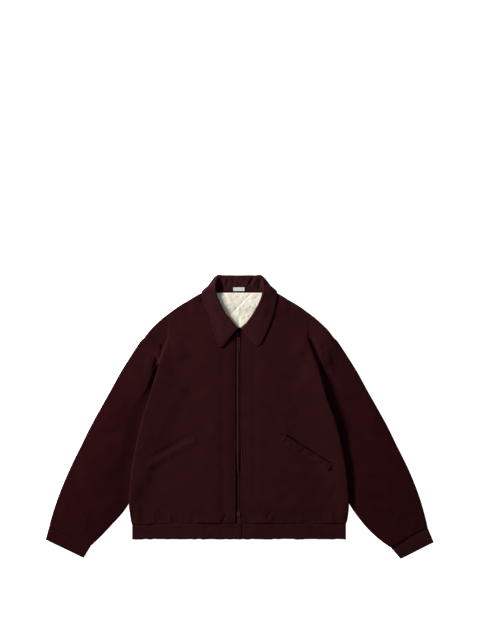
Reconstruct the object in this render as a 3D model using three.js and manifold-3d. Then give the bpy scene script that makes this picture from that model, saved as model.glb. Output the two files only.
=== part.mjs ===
// Short zip jacket, laid flat and face up with the zip closed
// Millimetres. +Z up from the surface, +Y towards the collar, x = 0 at the middle of the body.
// The back panel's flat underside lies at z = 0, and the fronts lie on the back.
import * as THREE from 'three';
import { mergeVertices } from 'three/addons/utils/BufferGeometryUtils.js';
import Module from 'manifold-3d';

const wasm = await Module();
wasm.setup();

// Driving dimensions
const wall = 3;              // shell, light wadding and lining together
const collarWall = 2;        // two plies and an interlining
const weltWall = 1.6;
const seamGap = 0.35;        // between pieces at a seam
const layerGap = 0.6;        // air between the back and a front that lies on it
const hemSeamY = -290;       // where the hem band is sewn on
const hemBottomY = -331;
const necklineY = 334;       // back neck seam
const leftEdgeX = 9.3;       // centre-front edge of each front, from x = 0
const rightEdgeX = 7.6;
const bandEndX = 5.9;          // the hem band's other end, which laps past the middle
const frontTopY = 233;       // top of the centre-front edges
const sideCrest = 4.2;       // how far the rolled side fold stands over the front
const sideRadius = 6;
const sleeveLift = 4;        // how far a front is lifted by the sleeve under it
const sleeveEdge = 6.8;      // sleeve's thickness at its edges
const sleeveCrown = 9.8;     // and along its middle
const neckLift = 3.3;        // back panel's rise over the collar that is folded behind it
const zipX = -1.35;          // middle of the zip
const zipBottomY = -270;
const zipTopY = 229;
const chainWidth = 5.3;
const tapeWidth = 22;
const tapeWall = 0.8;
const tapeZ = 3.4;
const chainTop = 5.6;
const boxLength = 12.7;
const boxWidth = 9.6;
const sliderY = 221;
const pullAxisY = 219;
const pullAxisZ = 8.6;
const pullWall = 1.4;
const pullWidth = 8;
const pullReach = 46;        // from the hinge to the tab's lower end
const labelSize = [31.6, 11, 0.6];
const labelBottomY = 336.9;
const neckShare = 0.72;      // where the neckline starts, as a share of a front's inner edge
const armholeShare = 0.8;    // where the armhole starts, as a share of its outer edge

// Body's side fold, from the hem up to the shoulder: distance from x = 0 at each height
const foldRows = [
  { y: -290, x: 287 }, { y: -275, x: 292 }, { y: -235, x: 296 }, { y: -191, x: 294.5 },
  { y: -140, x: 290 }, { y: -70, x: 278 }, { y: 0, x: 261 }, { y: 46, x: 244 },
  { y: 93, x: 230 }, { y: 140, x: 216 }, { y: 160, x: 207.5 }, { y: 215, x: 188 },
];
// Sleeve's hidden inner edge and, above y = 75, the armhole seam
const tuckRows = [
  { y: -320, x: 372 }, { y: -254, x: 314 }, { y: -221, x: 300 }, { y: -170, x: 268 },
  { y: -110, x: 240 }, { y: -40, x: 215 }, { y: 30, x: 190 }, { y: 75, x: 170 },
  { y: 140, x: 216 }, { y: 211, x: 256 },
];
// Shoulder line, from the neck out to the armhole
const shoulderRows = [
  { x: 84, y: 338 }, { x: 98, y: 333 }, { x: 108, y: 329 }, { x: 135, y: 313 },
  { x: 162, y: 297 }, { x: 184, y: 281 }, { x: 205, y: 265 }, { x: 224, y: 248 },
  { x: 240, y: 232 }, { x: 256, y: 211 },
];
// Armhole seam in two straight runs: underarm, side fold, shoulder
const underarm = [170, 75];
const armEnd = [216, 140];
const shoulderEnd = [256, 211];
const armShare = 0.44;       // where the second run starts, as a share of the sleeve's width
// Front neckline between the centre-front edge and the shoulder
const necklineRows = [
  { x: 17, y: 243 }, { x: 33, y: 260 }, { x: 48, y: 281 }, { x: 61, y: 303 }, { x: 73, y: 322 },
];
// Sleeve's outer and inner edges as they lie, from the shoulder to the cuff seam
const sleeveOuterLeft = [
  { x: 256, y: 211 }, { x: 267, y: 200 }, { x: 289, y: 167 }, { x: 319, y: 119 },
  { x: 346, y: 70 }, { x: 373, y: 22 }, { x: 400, y: -27 }, { x: 424, y: -76 },
  { x: 448, y: -124 }, { x: 470, y: -173 }, { x: 489, y: -221 }, { x: 505, y: -270 },
  { x: 512, y: -297 },
];
const sleeveOuterRight = [
  ...sleeveOuterLeft.slice(0, 10),
  { x: 489, y: -225 }, { x: 503, y: -274 }, { x: 509, y: -301 },
];
const sleeveInnerLeft = [
  { x: 170, y: 75 }, { x: 190, y: 30 }, { x: 215, y: -40 }, { x: 240, y: -110 },
  { x: 268, y: -170 }, { x: 300, y: -221 }, { x: 315, y: -254 }, { x: 341, y: -286 },
  { x: 371, y: -320 }, { x: 398, y: -347 },
];
const sleeveInnerRight = [
  ...sleeveInnerLeft.slice(0, 6),
  { x: 317, y: -266 }, { x: 347, y: -300 }, { x: 381, y: -332 }, { x: 411, y: -352 },
];
const cuffEnd = {
  left: { outer: [521, -331], inner: [418, -380] },
  right: { outer: [524, -338], inner: [435, -383] },
};
// Collar, from its centre-front end round to the middle of the back, a row for each section.
// A section starts at the leaf's outer edge, turns over at the fold and ends at the neck seam.
// reach pulls the leaf's curve outwards where it goes round the neck and down behind the back.
const collarLeft = [
  { edge: [44.5, 186], fold: [2, 237.5, 9.3], seam: [15.6, 243.8, 6.2], lift: 3 },
  { edge: [54, 187], fold: [5, 240, 9.3], seam: [20.5, 248.4, 6.1], lift: 2.2 },
  { edge: [61, 208], fold: [11, 247, 9.4], seam: [26.5, 254.6, 6.1], lift: 0.8 },
  { edge: [70, 234], fold: [24, 262, 9.6], seam: [37, 267, 6.1], lift: 0 },
  { edge: [80, 270], fold: [40, 283, 10], seam: [50, 286, 6.2], lift: 0.8 },
  { edge: [94, 300], fold: [52, 306, 11.8], seam: [62.8, 307.5, 8], lift: 0.8 },
  { edge: [102, 322], fold: [60, 328, 13.2], seam: [73.5, 324.5, 9], lift: 0.5 },
  { edge: [103.6, 335.4, 10.4], reach: [84, 349, 15], fold: [62, 341, 13.6], seam: [81.4, 340, 9.2] },
  { edge: [103.6, 336.8, 5], reach: [84, 354, 12], fold: [62.2, 349, 13.6], seam: [77, 339.6, 8.6] },
  { edge: [100.5, 334.6, 1.2], reach: [80, 360, 4.6], fold: [62, 356, 13.4], seam: [72, 338.6, 8] },
  { edge: [97, 322, 1], reach: [79, 370, 4], fold: [61, 363, 12.8], seam: [66, 337, 7.4] },
  { edge: [85, 314, 1], reach: [66, 389, 3], fold: [57, 372.6, 10.4], seam: [59, 335.6, 7.2] },
  { edge: [45, 313, 1], reach: [42, 390, 2.5], fold: [40, 374.6, 8.4], seam: [40, 335.2, 7.2] },
  { edge: [0, 313, 1], reach: [0, 390, 2.5], fold: [0, 374.6, 8.2], seam: [0, 335.2, 7.2] },
];
const rightFront = [
  { edge: [48, 187], fold: [3, 237, 9.3], seam: [13.8, 243.4, 6.2], lift: 1 },
  { edge: [57, 193], fold: [7, 241, 9.3], seam: [19.6, 248.2, 6.1], lift: 0.8 },
  { edge: [69, 215], fold: [16, 250, 9.4], seam: [28, 256.4, 6.1], lift: 0.4 },
  { edge: [80, 240], fold: [27, 264, 9.6], seam: [38.4, 269, 6.1], lift: 0 },
  { edge: [91, 270], fold: [41, 284, 10], seam: [50.4, 286.6, 6.2], lift: 0.8 },
  { edge: [98, 299], fold: [54, 308, 11.8], seam: [63.4, 308.4, 8], lift: 0.8 },
  { edge: [103, 322], fold: [62, 330, 13.2], seam: [73.5, 324.5, 9], lift: 0.5 },
];
const collarRight = [
  ...rightFront,
  ...collarLeft.slice(rightFront.length).map((row) => ({
    ...row, fold: [row.fold[0] * 1.03, row.fold[1], row.fold[2]],
  })),
];
// Soft ridges (height > 0) and troughs (height < 0) pressed into the cloth, from end to end
const frontFolds = [
  { from: [200, 196], to: [150, 150], width: 12, height: 1.2 },
  { from: [243, 196], to: [214, 150], width: 8, height: -1.4 },
  { from: [262, -150], to: [200, -250], width: 14, height: 1 },
  { from: [60, -262], to: [34, -288], width: 7, height: 1.3 },
  { from: [190, -262], to: [184, -288], width: 6, height: 1.2 },
  { from: [235, -258], to: [230, -288], width: 7, height: 1.4 },
];
const sleeveFolds = [
  { from: [238, 150], to: [262, 96], width: 9, height: 1.6 },
  { from: [300, 40], to: [372, -22], width: 13, height: 1.2 },
  { from: [312, -40], to: [392, -66], width: 11, height: -1.2 },
  { from: [330, -150], to: [440, -156], width: 14, height: 1.2 },
  { from: [350, -232], to: [440, -210], width: 12, height: -1 },
  { from: [420, -316], to: [410, -270], width: 8, height: 1.3 },
  { from: [462, -298], to: [452, -250], width: 8, height: 1.2 },
];
// Quilted lining: diamonds set at 45 degrees
const quiltPitch = 66;
const quiltPuff = 2;
const liningEdge = 1.2;
// Slanted welt pockets, from the inner upper end to the outer lower end
const welts = {
  left: { from: [113.4, -67.5], to: [244, -140] },
  right: { from: [116, -59.5], to: [245.7, -140.4] },
};
const weltWidth = 22;

const colours = {
  shell: 0x4a1a1e, cuffs: 0x43171b, collar: 0x53211f, lining: 0xe1ddc9,
  label: 0xf2f2ef, tape: 0x3a1418, metal: 0x17171a, pull: 0x35151a,
};

// Small helpers
const clamp = (value, low, high) => Math.min(high, Math.max(low, value));
const lerp = (a, b, t) => a + (b - a) * t;
function smooth(t) {
  const s = clamp(t, 0, 1);
  return s * s * (3 - 2 * s);
}
// Reads a table at a key, in a straight line between rows and level beyond its ends
function readTable(rows, key, column, at) {
  if (at <= rows[0][key]) return rows[0][column];
  for (let i = 1; i < rows.length; i += 1) {
    if (at <= rows[i][key]) {
      const t = (at - rows[i - 1][key]) / (rows[i][key] - rows[i - 1][key]);
      return lerp(rows[i - 1][column], rows[i][column], t);
    }
  }
  return rows[rows.length - 1][column];
}
const foldX = (y) => readTable(foldRows, 'y', 'x', y);
const tuckX = (y) => readTable(tuckRows, 'y', 'x', y);
const shoulderY = (x) => readTable(shoulderRows, 'x', 'y', x);

function splineOf(rows, mirror = 1) {
  return new THREE.SplineCurve(rows.map((row) => new THREE.Vector2(row.x * mirror, row.y)));
}
function lineBetween(a, b) {
  return (t) => [lerp(a[0], b[0], t), lerp(a[1], b[1], t)];
}
function alongSpline(curve) {
  curve.arcLengthDivisions = 400;
  return (t) => {
    const p = curve.getPointAt(clamp(t, 0, 1));
    return [p.x, p.y];
  };
}
// Two curves end to end, with the first taking up the share that is given
function joined(first, second, share) {
  return (t) => (t < share ? first(t / share) : second((t - share) / (1 - share)));
}
// A flat patch between four edge curves: u runs from inner to outer, v from start to end
function patch(inner, outer, start, end) {
  const corner = [inner(0), outer(0), inner(1), outer(1)];
  return (u, v) => [0, 1].map((k) => {
    const across = lerp(inner(v)[k], outer(v)[k], u);
    const along = lerp(start(u)[k], end(u)[k], v);
    const bottom = lerp(corner[0][k], corner[1][k], u);
    const top = lerp(corner[2][k], corner[3][k], u);
    return across + along - lerp(bottom, top, v);
  });
}
// Height that a list of soft folds adds at a point
function foldHeight(folds, x, y) {
  let sum = 0;
  for (const fold of folds) {
    const run = [fold.to[0] - fold.from[0], fold.to[1] - fold.from[1]];
    const length = Math.hypot(run[0], run[1]);
    const dx = x - fold.from[0];
    const dy = y - fold.from[1];
    const along = (dx * run[0] + dy * run[1]) / length;
    const aside = (dx * run[1] - dy * run[0]) / length;
    const ends = smooth((along + fold.width) / fold.width)
      * smooth((length + fold.width - along) / fold.width);
    sum += fold.height * ends * Math.exp(-((aside / fold.width) ** 2));
  }
  return sum;
}

// Closed solid from an outer and an inner grid of points, rows by columns
function solidFromGrids(outer, inner, closedRing = false) {
  const rows = outer.length;
  const cols = outer[0].length;
  const positions = [];
  const index = [];
  for (const grid of [outer, inner]) {
    for (const row of grid) row.forEach((p) => positions.push(p[0], p[1], p[2]));
  }
  const at = (layer, i, j) => layer * rows * cols + i * cols + (j % cols);
  const quad = (a, b, c, d) => index.push(a, b, c, a, c, d);
  const spans = closedRing ? cols : cols - 1;
  for (let i = 0; i < rows - 1; i += 1) {
    for (let j = 0; j < spans; j += 1) {
      quad(at(0, i, j), at(0, i, j + 1), at(0, i + 1, j + 1), at(0, i + 1, j));
      quad(at(1, i, j), at(1, i + 1, j), at(1, i + 1, j + 1), at(1, i, j + 1));
    }
  }
  for (let j = 0; j < spans; j += 1) {
    quad(at(0, 0, j + 1), at(0, 0, j), at(1, 0, j), at(1, 0, j + 1));
    quad(at(0, rows - 1, j), at(0, rows - 1, j + 1), at(1, rows - 1, j + 1), at(1, rows - 1, j));
  }
  if (!closedRing) {
    for (let i = 0; i < rows - 1; i += 1) {
      quad(at(0, i, 0), at(0, i + 1, 0), at(1, i + 1, 0), at(1, i, 0));
      quad(at(0, i + 1, cols - 1), at(0, i, cols - 1), at(1, i, cols - 1), at(1, i + 1, cols - 1));
    }
  }
  const geometry = new THREE.BufferGeometry();
  geometry.setAttribute('position', new THREE.Float32BufferAttribute(positions, 3));
  geometry.setIndex(facingOut(positions, index));
  geometry.computeVertexNormals();
  return geometry;
}
// Turns every face round where the volume that they enclose comes out negative
function facingOut(positions, index) {
  const corner = (i) => new THREE.Vector3().fromArray(positions, i * 3);
  let volume = 0;
  for (let i = 0; i < index.length; i += 3) {
    const a = corner(index[i]);
    volume += a.dot(corner(index[i + 1]).cross(corner(index[i + 2])));
  }
  if (volume > 0) return index;
  const turned = [];
  for (let i = 0; i < index.length; i += 3) turned.push(index[i], index[i + 2], index[i + 1]);
  return turned;
}
// Points moved along the grid's own normal, to one side or the other by the sign of the distance
function offsetGrid(grid, distance) {
  const rows = grid.length;
  const cols = grid[0].length;
  const point = (i, j) => {
    const row = grid[clamp(i, 0, rows - 1)];
    return new THREE.Vector3().fromArray(row[clamp(j, 0, cols - 1)]);
  };
  return grid.map((row, i) => row.map((p, j) => {
    const along = point(i + 1, j).sub(point(i - 1, j));
    const across = point(i, j + 1).sub(point(i, j - 1));
    const normal = across.cross(along).normalize().multiplyScalar(distance);
    return [p[0] + normal.x, p[1] + normal.y, p[2] + normal.z];
  }));
}

// Heights of the layers, all from the surface
function backTop(x, y, lead = 0) {
  const ax = Math.abs(x);
  return wall + neckLift * smooth((y - 276 + lead) / 28) * smooth((128 - ax + lead) / 18);
}
function frontTop(x, y) {
  const ax = Math.abs(x);
  const inside = foldX(y) - ax;
  const roll = inside > 0 ? smooth(1 - inside / 26) : smooth(1 + inside / 12);
  const crest = sideCrest * roll * (1 - smooth((y - armEnd[1]) / 75));
  const overSleeve = sleeveLift * smooth((ax - tuckX(y) + 45) / 45);
  const overZip = 1.5 * smooth(1 - (ax - 26) / 20);
  const belowShoulder = shoulderY(ax) - y;
  const shoulder = 2.4 * smooth(1 - belowShoulder / 55) * smooth((ax - 100) / 50);
  const raised = Math.max(overSleeve, shoulder) + 0.25 * Math.min(overSleeve, shoulder);
  return backTop(x, y, 12) + layerGap + wall + overZip + raised + crest + foldHeight(frontFolds, ax, y);
}
function sleeveTop(x, y) {
  const beyond = Math.abs(x) - foldX(y);
  const rise = (sleeveCrown - sleeveEdge) * smooth((beyond - 2) / 36);
  return sleeveEdge + rise;
}

// Height of a grid's own faces over a point
function gridHeight(grid, x, y) {
  const inTriangle = (a, b, c) => {
    const det = (b[1] - c[1]) * (a[0] - c[0]) + (c[0] - b[0]) * (a[1] - c[1]);
    if (Math.abs(det) < 1e-9) return null;
    const s = ((b[1] - c[1]) * (x - c[0]) + (c[0] - b[0]) * (y - c[1])) / det;
    const t = ((c[1] - a[1]) * (x - c[0]) + (a[0] - c[0]) * (y - c[1])) / det;
    if (s < -1e-6 || t < -1e-6 || s + t > 1 + 1e-6) return null;
    return s * a[2] + t * b[2] + (1 - s - t) * c[2];
  };
  let best = null;
  for (let i = 0; i < grid.length - 1; i += 1) {
    for (let j = 0; j < grid[0].length - 1; j += 1) {
      const [a, b, c, d] = [grid[i][j], grid[i][j + 1], grid[i + 1][j + 1], grid[i + 1][j]];
      const z = inTriangle(a, b, c) ?? inTriangle(a, c, d);
      if (z !== null) best = best === null ? z : Math.max(best, z);
    }
  }
  return best;
}

// Parts are kept here, then added to the jacket with their materials
const jacket = new THREE.Group();
function addPart(name, geometry, colour, roughness = 0.9, metalness = 0) {
  const material = new THREE.MeshStandardMaterial({ color: colour, roughness, metalness });
  const mesh = new THREE.Mesh(geometry, material);
  mesh.name = name;
  jacket.add(mesh);
}

// Front panel: a patch from the zip to the side fold, rolled down at the side and the shoulder
const frontRows = [0, 0.012, 0.05, 0.11, 0.18, 0.25, 0.32, 0.39, 0.46, 0.53, 0.6, 0.66, 0.72,
  0.76, 0.8, 0.84, 0.88, 0.92, 0.96, 1];
const frontCols = [0, 0.02, 0.09, 0.18, 0.28, 0.38, 0.48, 0.58, 0.67, 0.75, 0.82, 0.88, 0.94, 1];
const rollAngles = [62, 34, 6, -30];
const shoulderRadius = 5;
const shoulderAngles = [90, 58, 26, -6];
function frontPlan(side) {
  const edgeX = side < 0 ? leftEdgeX : rightEdgeX;
  const hemY = hemSeamY + seamGap;
  const neck = alongSpline(splineOf([
    { x: edgeX, y: frontTopY }, ...necklineRows, shoulderRows[0],
  ]));
  const inner = joined(lineBetween([edgeX, hemY], [edgeX, frontTopY]), neck, neckShare);
  const foldBelow = foldRows.filter((row) => row.y > hemY && row.y <= armEnd[1]);
  const outer = joined(
    alongSpline(splineOf([{ x: foldRows[0].x, y: hemY }, ...foldBelow])),
    lineBetween([armEnd[0] - seamGap, armEnd[1]], [shoulderEnd[0] - seamGap, shoulderEnd[1]]),
    armholeShare,
  );
  const shoulder = alongSpline(splineOf(shoulderRows));
  return patch(inner, outer, lineBetween([edgeX, hemY], [foldRows[0].x, hemY]), shoulder);
}
function frontGrid(side) {
  const plan = frontPlan(side);
  const unit = (from, to) => {
    const length = Math.hypot(to[0] - from[0], to[1] - from[1]);
    return [(to[0] - from[0]) / length, (to[1] - from[1]) / length];
  };
  const isFold = (v) => 1 - smooth((v - 0.77) / 0.06);
  const rad = Math.PI / 180;
  const grid = [];
  const makeRow = (v, topAngle) => {
    const row = [];
    const share = isFold(v);
    const radius = lerp(1.6, sideRadius, share);
    const edge = plan(1, v);
    const outward = unit(plan(0.93, v), edge);
    const span = Math.hypot(edge[0] - plan(0, v)[0], edge[1] - plan(0, v)[1]);
    const crestZ = frontTop(edge[0] - outward[0] * radius, edge[1] - outward[1] * radius);
    const onSleeve = smooth((edge[0] - tuckX(edge[1]) + 45) / 45);
    const lipZ = lerp(wall + 0.5, sleeveEdge + 0.9, onSleeve);
    const cells = frontCols.map((u) => ({ u, angle: 90 }));
    rollAngles.forEach((angle) => cells.push({ u: 1, angle }));
    for (const cell of cells) {
      const u = cell.u * (1 - radius / span);
      const topRadius = topAngle === null ? 0 : shoulderRadius;
      const flat = plan(u, v);
      const up = unit(plan(u, 0.97), plan(u, 1));
      const crestXY = [flat[0] - up[0] * topRadius, flat[1] - up[1] * topRadius];
      const sideOut = cell.angle === 90 ? 0 : radius * Math.cos(cell.angle * rad);
      const turned = (1 - Math.sin(cell.angle * rad)) / 1.5;
      const sideFall = lerp(0.4, crestZ - lipZ, share) * turned;
      const topOut = topAngle === null ? 0 : topRadius * Math.cos(topAngle * rad);
      const crestHeight = frontTop(...crestXY);
      const overBack = crestHeight - backTop(...crestXY, 8) - layerGap;
      const topFall = topAngle === null ? 0 : (overBack / 1.1) * (1 - Math.sin(topAngle * rad));
      const x = crestXY[0] + outward[0] * sideOut + up[0] * topOut;
      const y = crestXY[1] + outward[1] * sideOut + up[1] * topOut;
      const seam = v === 0 || cell.u === 0 ? 0.5 : 0;
      const z = crestHeight - sideFall - topFall - seam;
      row.push([side * x, y, z]);
    }
    return row;
  };
  frontRows.slice(0, -1).forEach((v) => grid.push(makeRow(v, null)));
  shoulderAngles.forEach((angle) => grid.push(makeRow(1, angle)));
  return grid;
}
const frontGrids = { left: frontGrid(-1), right: frontGrid(1) };
for (const [name, side] of [['left', -1], ['right', 1]]) {
  const outer = frontGrids[name];
  const inner = offsetGrid(outer, -wall * side);
  inner[0].forEach((p, j) => { p[1] = outer[0][j][1]; });
  inner.forEach((row, i) => { if (frontRows[i] <= neckShare) row[0][0] = outer[i][0][0]; });
  inner.forEach((row) => row.forEach((p) => {
    p[2] = Math.max(p[2], backTop(p[0], p[1], 8) + 0.5);
  }));
  addPart(`front_${name}`, solidFromGrids(outer, inner), colours.shell);
}

// Back panel: flat underneath, raised a little over the collar that is folded behind it
function backPanel() {
  const topHalf = 255.4;
  const sideX = (y) => (y < armEnd[1] ? Math.min(foldX(y) - 1, tuckX(y) - 1.5) : tuckX(y) - 0.6);
  const sideYs = [-220, -170, -110, -40, 30, 75, 110, 140, 165, 188, 210];
  const sideRows = [hemSeamY + seamGap, -275, -240, ...sideYs].map((y) => ({ x: sideX(y), y }));
  const neckRows = [{ x: 0, y: necklineY }, { x: 40, y: necklineY + 0.2 },
    { x: 62, y: necklineY + 0.8 }, { x: 84, y: 337.6 }];
  const shoulder = shoulderRows.slice(1, -1).map((row) => ({ x: row.x, y: row.y - 0.6 }));
  const topRows = [...neckRows, ...shoulder, { x: topHalf, y: 210 }];
  const topLine = (t) => {
    const x = lerp(-topHalf, topHalf, t);
    return [x, readTable(topRows, 'x', 'y', Math.abs(x))];
  };
  const sideLine = (mirror) => (t) => {
    const at = t * (sideRows.length - 1);
    const i = Math.min(sideRows.length - 2, Math.floor(at));
    const a = sideRows[i];
    const b = sideRows[i + 1];
    return [mirror * lerp(a.x, b.x, at - i), lerp(a.y, b.y, at - i)];
  };
  const hem = sideRows[0];
  const plan = patch(sideLine(-1), sideLine(1), lineBetween([-hem.x, hem.y], [hem.x, hem.y]), topLine);
  const rows = sideRows.length - 1;
  const lower = [];
  const upper = [];
  const columns = [-topHalf, -224, -184, -152, -129, -118, -108, -84, -62, -35, -12];
  const spread = [...columns, ...[...columns].reverse().map((x) => -x)];
  const steps = [...[...Array(rows).keys()].map((i) => i / rows), 0.955, 0.978, 1];
  for (const v of steps) {
    const top = spread.map((x) => {
      const [px, py] = plan((x + topHalf) / (2 * topHalf), v);
      return [px, py, backTop(px, py)];
    });
    upper.push(top);
    lower.push(top.map((p) => [p[0], p[1], p[2] - wall]));
  }
  return { upper, lower };
}
const back = backPanel();
addPart('back', solidFromGrids(back.upper, back.lower), colours.shell);

// Flattened tube: a closed ring of points at each step, with a flat underside
const acrossTop = [0.03, 0.1, 0.2, 0.32, armShare, 0.56, 0.68, 0.8, 0.9, 0.97];
const acrossBottom = [0.04, armShare, 0.7, 0.96];
function flatTube(plan, steps, topAt, side, tubeWall = wall) {
  const outer = [];
  const inner = [];
  for (const t of steps) {
    const a = plan(0, t);
    const b = plan(1, t);
    const width = Math.hypot(b[0] - a[0], b[1] - a[1]);
    const ring = [];
    const bore = [];
    const put = (u, z, boreU, boreZ) => {
      const p = plan(u, t);
      const q = plan(boreU, t);
      ring.push([side * p[0], p[1], z]);
      bore.push([side * q[0], q[1], boreZ]);
    };
    const edgeBore = tubeWall / width;
    const within = (u) => clamp(u, edgeBore * 1.15, 1 - edgeBore * 1.15);
    const heightAt = (u) => topAt(...plan(u, t), u, t);
    acrossBottom.forEach((u) => put(u, 0, within(u), tubeWall));
    const outerHeight = heightAt(1);
    put(1 - 0.6 / width, outerHeight * 0.25, 1 - edgeBore, tubeWall + 0.2);
    put(1, outerHeight * 0.55, 1 - edgeBore, Math.max(tubeWall + 0.4, outerHeight - tubeWall - 0.2));
    [...acrossTop].reverse().forEach((u) => {
      const edge = Math.min(u, 1 - u) * width;
      const top = heightAt(u) - (edge < 6 ? 0.9 : 0);
      put(u, top, within(u), Math.max(tubeWall + 0.6, top - tubeWall));
    });
    const innerHeight = heightAt(0);
    put(0, innerHeight * 0.55, edgeBore, Math.max(tubeWall + 0.4, innerHeight - tubeWall - 0.2));
    put(0.6 / width, innerHeight * 0.25, edgeBore, tubeWall + 0.2);
    outer.push(ring);
    inner.push(bore);
  }
  return solidFromGrids(outer, inner, true);
}

// Sleeves and cuffs
const sleeveSteps = [0, 0.05, 0.11, 0.18, 0.25, 0.32, 0.39, 0.46, 0.54, 0.62, 0.7, 0.78, 0.86, 0.93, 1];
for (const [name, side, outerRows, innerRows] of [
  ['left', -1, sleeveOuterLeft, sleeveInnerLeft],
  ['right', 1, sleeveOuterRight, sleeveInnerRight],
]) {
  const seamOuter = outerRows[outerRows.length - 1];
  const seamInner = innerRows[innerRows.length - 1];
  const plan = patch(
    alongSpline(splineOf(innerRows)),
    alongSpline(splineOf(outerRows)),
    joined(lineBetween(underarm, armEnd), lineBetween(armEnd, shoulderEnd), armShare),
    lineBetween([seamInner.x, seamInner.y], [seamOuter.x, seamOuter.y]),
  );
  const topAt = (x, y, u, t) => {
    const rim = t === 1 ? -0.5 : 0;
    return sleeveTop(x, y) + foldHeight(sleeveFolds, x, y) + rim;
  };
  addPart(`sleeve_${name}`, flatTube(plan, sleeveSteps, topAt, side), colours.shell);

  const end = cuffEnd[name];
  const along = [end.outer[0] - seamOuter.x, end.outer[1] - seamOuter.y];
  const length = Math.hypot(along[0], along[1]);
  const gap = seamGap / length;
  const start = [
    [lerp(seamInner.x, end.inner[0], gap), lerp(seamInner.y, end.inner[1], gap)],
    [lerp(seamOuter.x, end.outer[0], gap), lerp(seamOuter.y, end.outer[1], gap)],
  ];
  const cuffPlan = patch(lineBetween(start[0], end.inner), lineBetween(start[1], end.outer),
    lineBetween(start[0], start[1]), lineBetween(end.inner, end.outer));
  const cuffTop = (x, y, u, t) => {
    const gathered = 0.35 * Math.cos(u * Math.PI * 14) * (1 - t);
    return lerp(8.8, 9.4, Math.sin(Math.PI * t)) + gathered;
  };
  addPart(`cuff_${name}`, flatTube(cuffPlan, [0, 0.12, 0.5, 0.88, 1], cuffTop, side), colours.cuffs);
}

// Hem band: one strip round the body, folded at the sides and open at the zip
function hemBand() {
  const top = hemSeamY - seamGap;
  const rowYs = [top, top - 3, (top + hemBottomY) / 2, hemBottomY + 3, hemBottomY];
  const bandTop = (x) => 7 + 2.6 * smooth(1 - (foldRows[0].x - Math.abs(x)) / 60);
  const half = foldRows[0].x;
  const radius = bandTop(half) / 2;
  const along = [];
  const spread = [0, 24, 60, 110, 165, 215, 255, 276];
  const round = [60, 30, 0, -30, -60];
  const addFront = (x) => along.push([x, bandTop(x), 1]);
  addFront(bandEndX);
  spread.slice(1).forEach((x) => addFront(-x));
  addFront(radius - half);
  const turn = (sign, order) => order.forEach((angle) => {
    const a = (angle * Math.PI) / 180;
    along.push([sign * (half - radius + radius * Math.cos(a)), radius + radius * Math.sin(a), 0]);
  });
  turn(-1, round);
  along.push([radius - half, 0, 0]);
  [-190, -95, 0, 95, 190].forEach((x) => along.push([x, 0, 0]));
  along.push([half - radius, 0, 0]);
  turn(1, [...round].reverse());
  addFront(half - radius);
  [...spread].slice(1).reverse().forEach((x) => addFront(x));
  addFront(rightEdgeX);
  const outer = rowYs.map((y, i) => along.map((p) => {
    const rim = (i === 0 || i === rowYs.length - 1) && p[2] ? 0.6 : 0;
    return [p[0], y, p[1] - rim];
  }));
  const inner = offsetGrid(outer, -wall);
  inner.forEach((row, i) => row.forEach((p) => { p[1] = rowYs[i]; }));
  return solidFromGrids(outer, inner);
}
addPart('hem_band', hemBand(), colours.shell);

// Collar: leaf and stand in one cut, folded over all the way round the neck
function collarSection(row, side) {
  const half = collarWall / 2;
  const fold = new THREE.Vector3(...row.fold);
  const seam = new THREE.Vector3(...row.seam);
  let edge;
  let reach;
  let split = 0;
  if (row.reach) {
    edge = new THREE.Vector3(...row.edge);
    reach = new THREE.Vector3(...row.reach);
    split = clamp((fold.z - 11.5) / 1.8, 0, 1) * 1.2;
  } else {
    const [x, y] = row.edge;
    edge = new THREE.Vector3(x, y, frontTop(x, y) + 0.6 + half + row.lift);
    reach = edge.clone().lerp(fold, 0.5).add(new THREE.Vector3(0, 0, 1.8));
    split = 1.25;
  }
  const flatUnit = (v) => new THREE.Vector3(v.x, v.y, 0).normalize();
  const leafStart = fold.clone().addScaledVector(flatUnit(reach.clone().sub(fold)), 1.3);
  leafStart.z += split;
  const standStart = fold.clone().addScaledVector(flatUnit(seam.clone().sub(fold)), 1.3);
  standStart.z -= split;
  const curve = new THREE.QuadraticBezierCurve3(edge, reach, leafStart);
  const points = [0, 0.16, 0.34, 0.52, 0.68, 0.84, 1].map((t) => curve.getPoint(t));
  points.push(fold, standStart);
  [0.35, 0.7, 1].forEach((t) => points.push(standStart.clone().lerp(seam, t)));
  return points.map((p) => [side * p.x, p.y, p.z]);
}
function collarPiece() {
  const left = collarLeft.map((row) => collarSection(row, -1));
  const right = collarRight.map((row) => collarSection(row, 1)).slice(0, -1).reverse();
  const middle = [...left, ...right];
  const outer = offsetGrid(middle, collarWall / 2);
  const inner = offsetGrid(middle, -collarWall / 2);
  return solidFromGrids(outer, inner);
}
addPart('collar', collarPiece(), colours.collar);

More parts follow.
